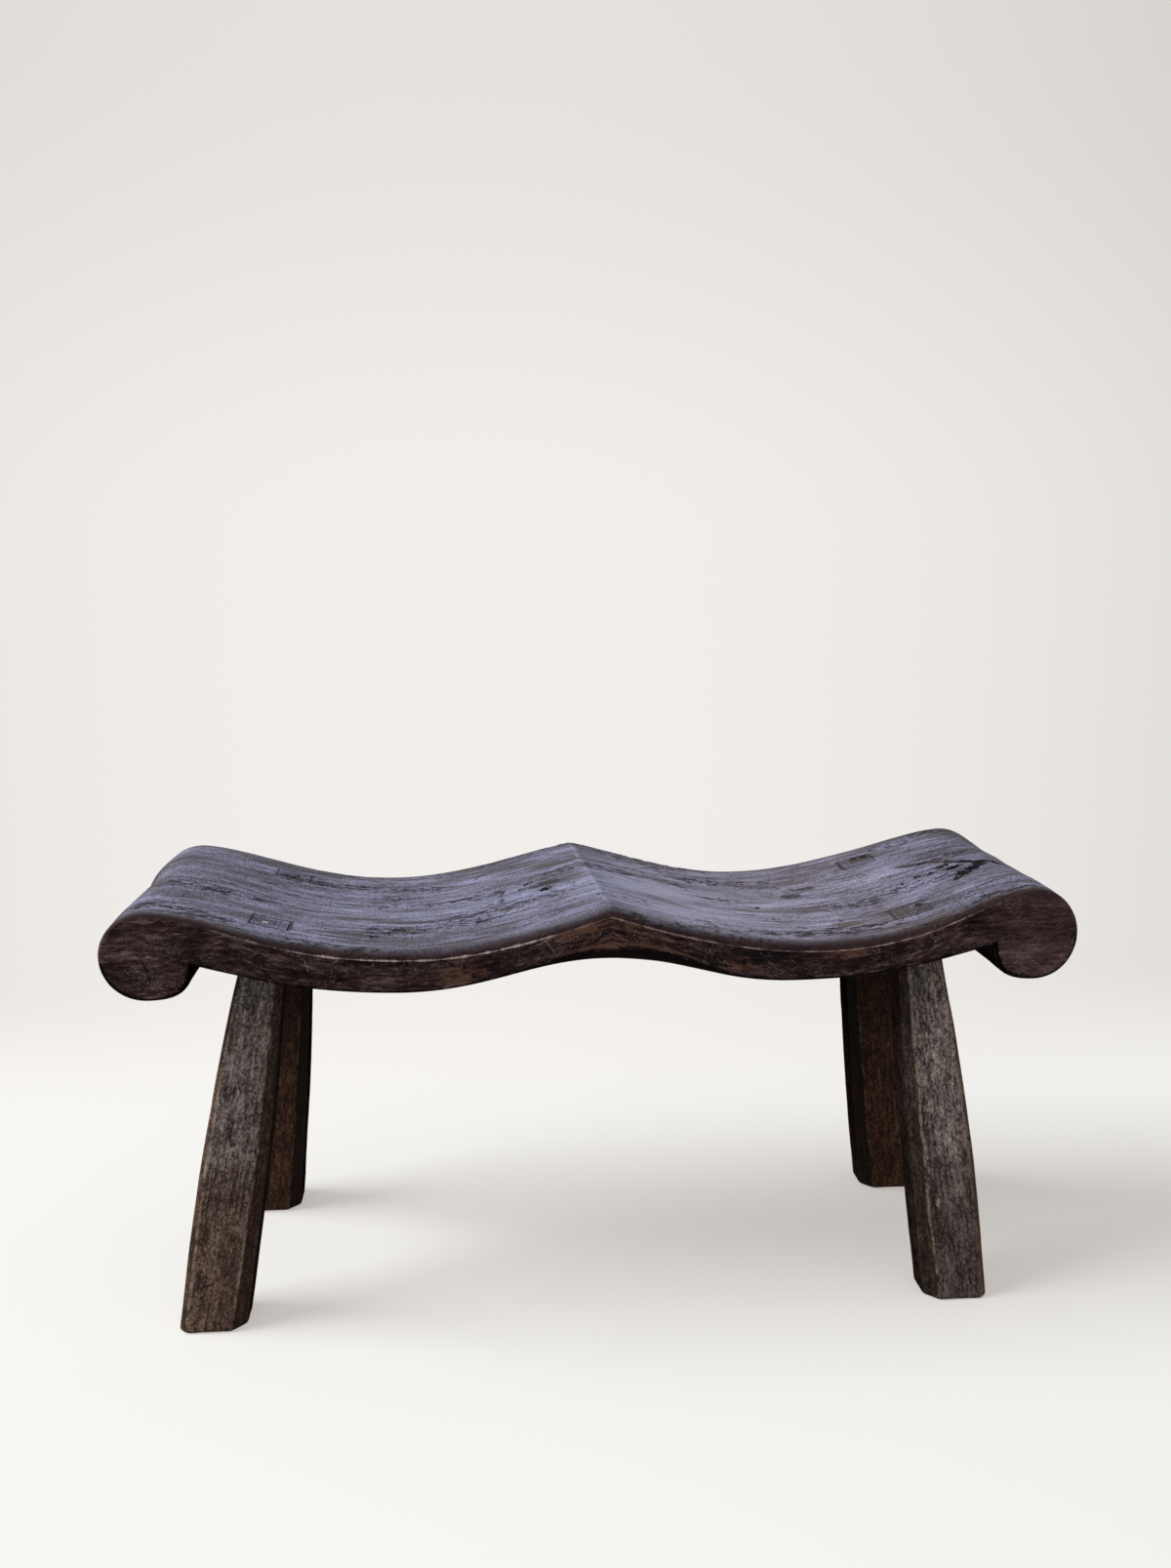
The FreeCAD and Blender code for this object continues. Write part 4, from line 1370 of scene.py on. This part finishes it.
def leg_wood(legs, seat):
    """Grey-brown hewn wood with leathery crackle, warmer towards the foot, its arrises pale, partly worn
    and partly painted highlight.
    """
    finish = Finish("leg wood")
    stock, edge = finish.mark("stock", "Vector"), finish.mark("edge")
    height, tenon, warmth = finish.mark("height"), finish.mark("tenon"), finish.mark("warmth")

    def grain(width, length, seed, detail=3.0, distortion=0.0):
        """Noise with marks of about this width across the leg and this length along it."""
        place = finish.scaled(stock, (1 / width, 1 / width, 1 / length))
        return finish.noise(place, seed, detail, GRAIN_ROUGHNESS, distortion)

    # The ground, grey above and brown below
    clouds, streaks = grain(0.026, 0.045, 3.0), grain(0.0034, 0.040, 1.0, 4.0)
    crackle, speckle = grain(0.0058, 0.0085, 2.0, 3.0, 1.4), grain(0.0024, 0.0030, 4.0, 2.0)
    warp = finish.times(finish.vector(crackle, speckle, streaks), 2.2)
    warped = finish.vector_math("ADD", {0: finish.scaled(stock, WRINKLE_CELLS), 1: warp})
    wrinkles = finish.ramp(finish.cells(warped, "DISTANCE_TO_EDGE"), 0.09, 0.0)
    tone = finish.tone((clouds, 0.6), (streaks, 1.0), (crackle, 1.0), (speckle, 0.5)) - wrinkles * 0.16
    darkest = (0.18, legs.deep_wood)
    greys = (0.42, legs.dark_wood), (0.60, legs.grey_wood), (0.85, legs.dusty_wood)
    browns = (0.42, legs.umber_wood), (0.62, legs.warm_wood), (0.88, legs.tan_wood)
    grey, brown = (finish.tones(tone, darkest, *stops) for stops in (greys, browns))
    low = finish.ramp(height + (clouds - 0.5) * 0.30, 0.27, 0.10)
    warm = finish.least(low * warmth + finish.ramp(warmth, 0.9, 1.4), 1.0)
    colour = finish.mix(warm * 0.9, grey, brown)
    cool = finish.ramp(warmth, 0.6, 0.2)
    colour = finish.times(colour, (cool * 0.28 + 1) * (1 - low * cool * 0.6))
    colour, inner, behind = leg_with_painted_shade(finish, colour, brown, clouds)

    # Dents, flecks and sunk grain
    dents = finish.ramp(abs(grain(0.024, 0.040, 12.0, 3.0, 0.9) - 0.5), 0.012, 0.003)
    dents = dents * finish.ramp(grain(0.030, 0.040, 15.0, 2.0), 0.46, 0.58)
    colour = finish.mix(dents * 0.85, colour, legs.deep_wood)
    flecks = finish.ramp(grain(0.0026, 0.0060, 13.0, 2.0), 0.64, 0.72)
    colour = finish.mix(flecks * (1 - inner) * 0.45, colour, finish.times(colour, 2.2))
    sunk = finish.ramp(grain(0.0030, 0.0070, 14.0, 2.0), 0.38, 0.30)
    colour = finish.mix(sunk * 0.6, colour, legs.deep_wood)

    # Pale arrises, partly wear and partly painted highlight, then hair scratches, the chip and the dirty
    # sole
    below = finish.ramp(tenon, 0.5, 0.0)
    broken = finish.ramp(grain(0.030, 0.020, 6.0, 4.0), 0.42, 0.58)
    pale = finish.ramp(edge + (crackle - 0.5) * 0.003, 0.0019, 0.0005) * broken * below
    colour = finish.mix(pale * (1 - behind * 0.6) * 0.8, colour, legs.pale_wear_and_highlight)
    across, _, along = finish.split(stock)
    slant = finish.vector((across + along * 0.35) * 100.0, (along - across * 0.9) * 24.0, 0.0)
    hair = finish.ramp(finish.cells(slant, dimensions="2D"), 0.11, 0.04) * finish.ramp(clouds, 0.50, 0.58)
    hair = hair * below * finish.ramp(finish.facing("True Normal")[1], -0.75, -0.95)
    colour = finish.mix(hair * 0.4, colour, legs.pale_wear_and_highlight)
    chip = finish.spot(finish.place, LEG_CHIP, LEG_CHIP_SIZE)
    chip = finish.ramp(chip + (crackle - 0.5) * 1.6, 0.50, 0.62)
    colour = finish.mix(chip, colour, legs.pale_wear_and_highlight)
    sole = finish.ramp(height + (speckle - 0.5) * 0.004, 0.005, 0.001)
    colour = finish.mix(sole * 0.9, colour, legs.deep_wood)
    rasped = finish.ramp(edge, 0.009, 0.002) * finish.ramp(height, 0.24, 0.30) * below
    teeth = finish.math("SINE", along * (2 * math.pi / legs.rasp_pitch)) * rasped

    # The tenon's end, worn with the seat and given the seat's painted sheen
    top, _ = patina_and_sheen(finish, seat)
    on_top = tenon * finish.ramp(finish.facing()[2], 0.4, 0.8)
    colour = finish.mix(on_top, colour, top)
    pale_chip = finish.ramp(finish.spot(finish.place, TENON_CHIP, TENON_CHIP_SIZE), 0.2, 0.5)
    colour = finish.mix(pale_chip * on_top, colour, seat.pale_wear_and_highlight)
    relief = streaks * 0.2 + crackle * 0.5 + speckle * 0.25 + flecks * 0.2 + teeth * 0.16
    relief = relief - chip * 0.5 - wrinkles * 0.25 - dents * 0.6 - sunk * 0.25
    return finish.dress(colour, 0.64 + streaks * 0.14, relief, LEG_RELIEF, gloss=(1 - inner) * 0.08)


def wedge_wood(joints, seat):
    """Ends of the wedges, pared flush and blue-grey with a painted sheen like the seat around them, only a
    little browner.
    """
    finish = Finish("wedge wood")
    top, relief = patina_and_sheen(finish, seat)
    grain = finish.noise(finish.scaled(finish.place, (420.0, 70.0, 60.0)), 2.0, detail=3.0)
    browner = finish.ramp(grain, 0.40, 0.65) * 0.5
    colour = finish.mix(browner, finish.times(top, 0.85), joints.wedge_colour)
    return finish.dress(colour, 0.64 + grain * 0.1, relief, WEDGE_RELIEF, gloss=0.10)


def peg_wood(joints, seat):
    """Dark end grain, darker at the left end of the bench."""
    finish = Finish("peg wood")
    grain = finish.noise(finish.scaled(finish.place, (300.0, 60.0, 300.0)), 5.0, detail=3.0, distortion=0.8)
    to_the_right = finish.ramp(finish.split(finish.place)[0], -0.1, 0.1)
    lighter = finish.mix(to_the_right, joints.peg_colour, seat.face_brown)
    colour = finish.mix(finish.ramp(grain, 0.35, 0.65), seat.deep_brown, lighter)
    return finish.dress(colour, 0.66 + grain * 0.1, grain, PEG_RELIEF, gloss=0.10)


def backdrop_rays(wiring):
    """1 for the rays that should see the pale backdrop."""
    rays = wiring.add("ShaderNodeLightPath")
    seen = (wiring.term(rays, f"Is {kind} Ray") for kind in ("Camera", "Glossy", "Transmission"))
    return wiring.most(*seen)


def dimmed_aside(wiring, across, ahead):
    """How the floor and backdrop dim to either side: 1 straight ahead of the camera's place, less aside."""
    turn = wiring.least(abs(across / wiring.most(ahead, 0.01)), 0.6)
    return 1 - turn * turn * 0.5


def floor_paint(stage):
    """A matt floor with a light shadow, passing into the backdrop further off and clear from below."""
    finish = Finish("floor paint")
    x, y, _ = finish.split(finish.place)
    away = finish.math("SQRT", x * x + y * y)
    far = finish.ramp(away, stage.floor_blend_start, stage.floor_blend_end)
    far = finish.most(far, finish.ramp(y, stage.floor_blend_start * 0.3, stage.floor_blend_start))
    seen = backdrop_rays(finish)
    finish.tree.nodes.remove(finish.shader)
    near_dimming = finish.ramp(x, -0.4, 0.9, 1.0, 0.93)
    painted = finish.times(finish.vector(*stage.floor_colour), near_dimming)
    far_dimming = dimmed_aside(finish, x - CAMERA_PLACE.x, y - CAMERA_PLACE.y)
    dimming = near_dimming + (far_dimming - near_dimming) * far
    colour = finish.mix(seen, stage.bounce_colour, painted)
    paint = finish.add("ShaderNodeBsdfDiffuse", {"Color": colour, "Roughness": 0.0})
    glow_colour = finish.mix(far, stage.shade_colour, stage.horizon_colour)
    glow = finish.add("ShaderNodeEmission", {"Color": glow_colour, "Strength": dimming})
    share = (far * (1 - stage.floor_glow) + stage.floor_glow) * seen
    blended = finish.add("ShaderNodeMixShader", {0: share, 1: finish.term(paint), 2: finish.term(glow)})
    from_below = finish.term(finish.add("ShaderNodeNewGeometry"), "Backfacing") * seen
    clear = finish.term(finish.add("ShaderNodeBsdfTransparent"))
    shown = finish.add("ShaderNodeMixShader", {0: from_below, 1: finish.term(blended), 2: clear})
    outlet = finish.tree.nodes["Material Output"]
    finish.tree.links.new(shown.outputs[0], outlet.inputs["Surface"])
    return finish.material


def add_floor(stage):
    points = [(0, 0, 0)]
    for i in range(FLOOR_SIDES):
        turn = 2 * math.pi * i / FLOOR_SIDES
        points.append((stage.floor_radius * math.cos(turn), stage.floor_radius * math.sin(turn), 0))
    faces = [(0, i + 1, (i + 1) % FLOOR_SIDES + 1) for i in range(FLOOR_SIDES)]
    mesh = mesh_of("floor", points, faces)
    mesh.materials.append(floor_paint(stage))
    floor = bpy.data.objects.new("floor", mesh)
    bpy.context.scene.collection.objects.link(floor)


def add_world(stage):
    """Soft light, strongest from above, the left and the front, while the camera sees a pale backdrop."""
    world = bpy.data.worlds.new("studio")
    world.use_nodes = True
    bpy.context.scene.world = world
    wiring = Wiring(world.node_tree)
    direction = wiring.term(wiring.add("ShaderNodeTexCoord"), "Generated")
    to_right, ahead, up = wiring.split(direction)
    rise = wiring.ramp(up, 0.0, 0.36)
    shown = wiring.mix(rise, stage.horizon_colour, stage.backdrop_colour)
    dimming = dimmed_aside(wiring, to_right, ahead)
    backdrop = wiring.add("ShaderNodeBackground", {"Color": shown, "Strength": dimming})
    level = wiring.ramp(up, 0.0, 0.9, stage.horizon_light, stage.zenith_light)
    level = level * (1 - to_right * stage.sky_lean - ahead * stage.sky_front)
    light = wiring.add("ShaderNodeBackground", {"Color": stage.sky_colour, "Strength": level})
    inputs = {0: backdrop_rays(wiring), 1: wiring.term(light), 2: wiring.term(backdrop)}
    blended = wiring.add("ShaderNodeMixShader", inputs)
    wiring.tree.links.new(blended.outputs[0], wiring.tree.nodes["World Output"].inputs["Surface"])


def add_key(stage):
    """One very broad lamp from the upper left, a little in front."""
    lamp = bpy.data.lights.new("key", "SUN")
    lamp.energy = stage.key_strength
    lamp.angle = stage.key_spread
    key = bpy.data.objects.new("key", lamp)
    key.rotation_euler = Vector((
        -math.cos(stage.key_height) * math.cos(stage.key_forward),
        -math.cos(stage.key_height) * math.sin(stage.key_forward),
        math.sin(stage.key_height),
    )).to_track_quat("Z", "Y").to_euler()
    bpy.context.scene.collection.objects.link(key)


def add_camera():
    lens = bpy.data.cameras.new("camera")
    lens.sensor_fit = "VERTICAL"
    lens.sensor_height = SENSOR
    lens.lens = SENSOR * FOCAL_PIXELS / IMAGE_HEIGHT
    lens.clip_start, lens.clip_end = 0.05, 100.0
    camera = bpy.data.objects.new("camera", lens)
    turned = Matrix.Rotation(CAMERA_YAW, 3, "Z") @ Matrix.Rotation(CAMERA_PITCH, 3, "X")
    camera.rotation_euler = (turned @ Matrix.Rotation(CAMERA_ROLL, 3, "Z")).to_euler()
    camera.location = CAMERA_PLACE
    bpy.context.scene.collection.objects.link(camera)
    bpy.context.scene.camera = camera


def length(name, description, default):
    return FloatProperty(name=name, description=description, default=default, min=0.0, subtype="DISTANCE",
                         unit="LENGTH", precision=5)


def share(name, description, default):
    return FloatProperty(name=name, description=description, default=default, min=0.0, subtype="FACTOR")


def light(name, description, default):
    return FloatProperty(name=name, description=description, default=default, min=0.0)


def angle(name, description, degrees):
    return FloatProperty(name=name, description=description, default=math.radians(degrees), subtype="ANGLE")


def colour(name, description, default):
    return FloatVectorProperty(name=name, description=description, default=default, size=3,
                               min=0.0, max=1.0, subtype="COLOR")


class BenchSeatSettings(bpy.types.PropertyGroup):
    """Carving and colours of the seat."""

    edge_round: length("Edge Round", "Depth of the worn round along the seat's upper edges", 0.010)
    front_ridge_radius: length("Front Ridge Radius", "Radius of the ridge's crest in front", 0.009)
    rear_ridge_radius: length("Rear Ridge Radius", "Radius of the ridge's crest at the rear", 0.030)
    adze_depth: length("Adze Depth", "Height of the broad tool marks", 0.0018)
    adze_length: length("Adze Length", "Length of the broad tool marks", 0.075)
    grain_depth: length("Grain Depth", "Height of the raised grain", 0.0010)
    grain_width: length("Grain Width", "Width of one ridge of raised grain", 0.011)
    pit_depth: length("Pit Depth", "Depth of the short pits along the grain", 0.0010)
    gouge_share: share("Gouge Share", "How deep the crack and chips are cut, of their full depth", 1.0)
    seed: FloatProperty(name="Seed", description="Another number gives other tool marks", default=4.0)
    # The patina colours are partly patina and partly a painted sheen of cold light on the sitting surface
    deep_patina_and_sheen: colour("Deep Patina", "Darkest grain of the sitting surface", (0.040, 0.037, 0.046))
    dark_patina_and_sheen: colour("Dark Patina", "Darker bands of the sitting surface", (0.108, 0.104, 0.146))
    patina_and_sheen: colour("Patina", "Blue-grey of the sitting surface", (0.168, 0.165, 0.245))
    light_patina_and_sheen: colour("Light Patina", "Lighter streaks of the sitting surface", (0.226, 0.227, 0.338))
    violet_patina_and_sheen: colour("Violet Patina", "Lightest streaks of the sitting surface", (0.300, 0.309, 0.468))
    worn_brown: colour("Worn Brown", "Brown streaks in the patina", (0.066, 0.055, 0.056))
    worn_tan: colour("Worn Tan", "Patches worn through the patina", (0.112, 0.091, 0.079))
    edge_brown: colour("Edge Brown", "Rounded band between top and faces", (0.024, 0.014, 0.015))
    deep_brown: colour("Deep Brown", "Darkest grain and cracks", (0.008, 0.005, 0.005))
    dark_brown: colour("Dark Brown", "Dark grain of the long faces", (0.024, 0.0128, 0.0138))
    face_brown: colour("Face Brown", "Long faces of the slab", (0.060, 0.033, 0.034))
    dusty_brown: colour("Dusty Brown", "Raised fibres on the faces", (0.172, 0.114, 0.115))
    warm_brown: colour("Warm Brown", "Warmer patches on the faces", (0.170, 0.084, 0.052))
    # Pale Wear and Red Wear are partly wear and partly the painted highlight along the arris
    pale_wear_and_highlight: colour("Pale Wear", "Worn arris and scratches on the left", (0.620, 0.500, 0.480))
    red_wear_and_highlight: colour("Red Wear", "Worn arris on the right", (0.400, 0.285, 0.270))


class BenchLegSettings(bpy.types.PropertyGroup):
    """Hewing and colours of the legs."""

    inner_top_chamfer: length("Inner Top Chamfer", "Cut corners at the top on the inner sides", 0.009)
    inner_chamfer: length("Inner Chamfer", "Cut corners at the foot on the inner sides", 0.015)
    outer_chamfer: length("Outer Chamfer", "Cut corners at the foot on the outer sides", 0.008)
    bow: length("Bow", "Swell of the outer sides halfway up", 0.003)
    hewing_depth: length("Hewing Depth", "Height of the tool marks on the legs", 0.0018)
    foot_round: length("Foot Round", "Worn round under the foot", 0.004)
    rasp_pitch: length("Rasp Pitch", "Spacing of the rasp marks along the upper arrises", 0.0045)
    points_around: IntProperty(name="Points Around", description="Points round a leg", default=192, min=16)
    points_along: IntProperty(name="Points Along", description="Rows along the leg", default=170, min=16)
    warmth: FloatVectorProperty(
        name="Warmth", description="How brown each leg is, in the order of the corners",
        default=(0.9, 0.25, 1.4, 1.4), size=4, min=0.0, max=2.0,
    )
    deep_wood: colour("Deep Wood", "Darkest grain of the legs", (0.026, 0.019, 0.017))
    dark_wood: colour("Dark Wood", "Dark grey grain of the legs", (0.162, 0.131, 0.120))
    grey_wood: colour("Grey Wood", "Upper parts of the legs", (0.352, 0.292, 0.271))
    dusty_wood: colour("Dusty Wood", "Raised grey fibres of the legs", (0.580, 0.490, 0.440))
    umber_wood: colour("Umber Wood", "Dark brown grain of the legs", (0.095, 0.052, 0.032))
    warm_wood: colour("Warm Wood", "Lower parts of the legs", (0.240, 0.140, 0.092))
    tan_wood: colour("Tan Wood", "Raised brown fibres of the legs", (0.390, 0.285, 0.215))
    # Pale Wear is partly wear and partly the painted highlight along the arrises
    pale_wear_and_highlight: colour("Pale Wear", "Worn arrises of the legs", (0.460, 0.325, 0.230))


class BenchJointSettings(bpy.types.PropertyGroup):
    """Seams and colours of the joints."""

    seam: length("Seam", "Open line round the tenons", 0.0010)
    wedge_seam: length("Wedge Seam", "Open line round the wedges and pegs", 0.0005)
    peg_dome: length("Peg Dome", "Swell of the pegs' heads", 0.0006)
    wedge_colour: colour("Wedge Colour", "Pared ends of the wedges", (0.110, 0.092, 0.098))
    peg_colour: colour("Peg Colour", "Ends of the pegs", (0.030, 0.021, 0.020))


class BenchStageSettings(bpy.types.PropertyGroup):
    """Floor, backdrop and light."""

    floor_radius: length("Floor Radius", "Radius of the floor", 9.0)
    floor_blend_start: length("Blend Start", "Where the floor starts to pass into the backdrop", 1.1)
    floor_blend_end: length("Blend End", "Where the floor shows only the backdrop's colour", 3.0)
    floor_glow: share("Floor Glow", "How much of the floor's brightness the shadow leaves alone", 0.47)
    floor_colour: colour("Floor Colour", "Paint of the floor", (0.972, 1.000, 0.998))
    shade_colour: colour("Shade Colour", "What the shadow leaves of the floor", (0.917, 0.858, 0.802))
    bounce_colour: colour("Bounce Colour", "Floor as the bench is lit by it", (0.220, 0.215, 0.210))
    horizon_colour: colour("Horizon Colour", "Backdrop at the horizon", (0.884, 0.858, 0.832))
    backdrop_colour: colour("Backdrop Colour", "Backdrop higher up", (0.780, 0.748, 0.722))
    sky_colour: colour("Sky Colour", "Light from all round", (1.0, 0.995, 0.985))
    horizon_light: light("Horizon Light", "Soft light from low down", 0.26)
    zenith_light: light("Zenith Light", "Soft light from above", 0.48)
    sky_lean: share("Sky Lean", "How much stronger the soft light is from the left", 0.35)
    sky_front: share("Sky Front", "How much stronger the soft light is from the front", 0.40)
    key_strength: light("Key Strength", "Light of the key lamp", 2.90)
    key_spread: angle("Key Spread", "How broad the key lamp is", 36)
    key_height: angle("Key Height", "Key lamp above the floor", 40)
    key_forward: angle("Key Forward", "Key lamp in front of the left end", 3)


class BenchSettings(bpy.types.PropertyGroup):
    """All settings of the bench."""

    seat: PointerProperty(type=BenchSeatSettings)
    legs: PointerProperty(type=BenchLegSettings)
    joints: PointerProperty(type=BenchJointSettings)
    stage: PointerProperty(type=BenchStageSettings)


class BENCH_OT_stage(bpy.types.Operator):
    """Set up the floor, the backdrop, the light and the camera"""

    bl_idname = "bench.stage"
    bl_label = "Set Up Stage"

    def execute(self, context):
        stage = context.scene.saddle_bench.stage
        context.scene.view_settings.view_transform = "Standard"
        add_floor(stage)
        add_world(stage)
        add_key(stage)
        add_camera()
        return {"FINISHED"}


class BENCH_OT_seat(bpy.types.Operator):
    """Carve the slab and cut its mortises and peg holes"""

    bl_idname = "bench.seat"
    bl_label = "Carve Seat"

    def execute(self, context):
        settings = context.scene.saddle_bench
        seat, joints = settings.seat, settings.joints
        slab = Slab(seat).mesh
        steps = []
        for corner in map(Corner, CORNERS):
            steps.append(("DIFFERENCE", corner.tenon(joints.seam)))
            steps.append(("DIFFERENCE", corner.end_wedge(joints.wedge_seam)))
            steps.append(("DIFFERENCE", corner.peg_hole(joints.wedge_seam)))
        mesh = carve(slab, *steps)
        carry_marks(slab, mesh, *SEAT_MARKS)
        add_piece("carved_seat", mesh, seat_wood(seat), "seat")
        return {"FINISHED"}


class BENCH_OT_legs(bpy.types.Operator):
    """Hew the four legs, scribe them to the slab and cut their tenons"""

    bl_idname = "bench.legs"
    bl_label = "Hew Legs"

    def execute(self, context):
        settings = context.scene.saddle_bench
        legs, joints = settings.legs, settings.joints
        slab = Slab(settings.seat)
        below = slab.below()
        material = leg_wood(legs, settings.seat)
        rule = leg_rule(legs)
        for corner in map(Corner, CORNERS):
            stock = rule.run(
                None, material, height=corner.middle, foot=tuple(corner.foot), lean=tuple(corner.lean),
                inward=float(-corner.side), seed=1.0 + corner.number,
            )
            tenon = carve(corner.tenon(), ("INTERSECT", below))
            mesh = carve(
                stock,
                ("DIFFERENCE", slab.mesh),
                ("UNION", tenon),
                ("DIFFERENCE", corner.kerf_wedge(joints.wedge_seam)),
                ("DIFFERENCE", corner.peg_hole(joints.wedge_seam)),
            )
            carry_marks(stock, mesh, "edge")
            leg_marks(mesh, corner, legs)
            add_piece(f"hewn_leg_{corner.name}", mesh, material, f"leg_{corner.name}")
        return {"FINISHED"}


class BENCH_OT_wedges(bpy.types.Operator):
    """Drive the wedges and pare them flush with the sitting surface"""

    bl_idname = "bench.wedges"
    bl_label = "Drive Wedges"

    def execute(self, context):
        settings = context.scene.saddle_bench
        joints = settings.joints
        below = Slab(settings.seat).below()
        material = wedge_wood(joints, settings.seat)
        for corner in map(Corner, CORNERS):
            hole = corner.peg_hole(joints.wedge_seam)
            kerf_steps = [("INTERSECT", below), ("DIFFERENCE", hole)]
            end_steps = kerf_steps + [("DIFFERENCE", corner.tenon(joints.seam))]
            for kind, blank, steps in (
                ("kerf_wedge", corner.kerf_wedge(), kerf_steps),
                ("end_wedge", corner.end_wedge(), end_steps),
            ):
                node = f"{kind}_{corner.name}"
                add_piece(f"driven_{node}", carve(blank, *steps), material, node)
        return {"FINISHED"}


class BENCH_OT_pegs(bpy.types.Operator):
    """Whittle the pegs and drive them in from the long edges"""

    bl_idname = "bench.pegs"
    bl_label = "Drive Pegs"

    def execute(self, context):
        settings = context.scene.saddle_bench
        joints = settings.joints
        material = peg_wood(joints, settings.seat)
        rule = peg_rule(joints)
        for corner in map(Corner, CORNERS):
            mesh = rule.run(
                None, material, radius=corner.peg_radius, length=corner.peg_length,
                inner_end=corner.peg_start, outward=float(corner.end), seed=1.0 + corner.number,
            )
            if corner.end == REAR:
                mesh.flip_normals()
            node = f"peg_{corner.name}"
            add_piece(f"driven_{node}", mesh, material, node)
        return {"FINISHED"}


STEPS = (BENCH_OT_stage, BENCH_OT_seat, BENCH_OT_legs, BENCH_OT_wedges, BENCH_OT_pegs)


class BENCH_PT_panel(bpy.types.Panel):
    """Makes the bench piece by piece"""

    bl_idname = "BENCH_PT_panel"
    bl_label = "Saddle Bench"
    bl_space_type = "VIEW_3D"
    bl_region_type = "UI"
    bl_category = "Bench"

    def draw(self, context):
        settings = context.scene.saddle_bench
        for step in STEPS:
            self.layout.operator(step.bl_idname)
        for name in ("seat", "legs", "joints", "stage"):
            box = self.layout.box()
            box.label(text=name.title())
            group = getattr(settings, name)
            for key in group.bl_rna.properties.keys():
                if key not in ("rna_type", "name"):
                    box.prop(group, key)


GROUPS = (BenchSeatSettings, BenchLegSettings, BenchJointSettings, BenchStageSettings, BenchSettings)
CLASSES = (*GROUPS, *STEPS, BENCH_PT_panel)


def register():
    for made in CLASSES:
        bpy.utils.register_class(made)
    bpy.types.Scene.saddle_bench = PointerProperty(type=BenchSettings)


def unregister():
    del bpy.types.Scene.saddle_bench
    for made in reversed(CLASSES):
        bpy.utils.unregister_class(made)


def main():
    register()
    bpy.ops.bench.stage()
    bpy.ops.bench.seat()
    bpy.ops.bench.legs()
    bpy.ops.bench.wedges()
    bpy.ops.bench.pegs()


if __name__ == "__main__":
    main()
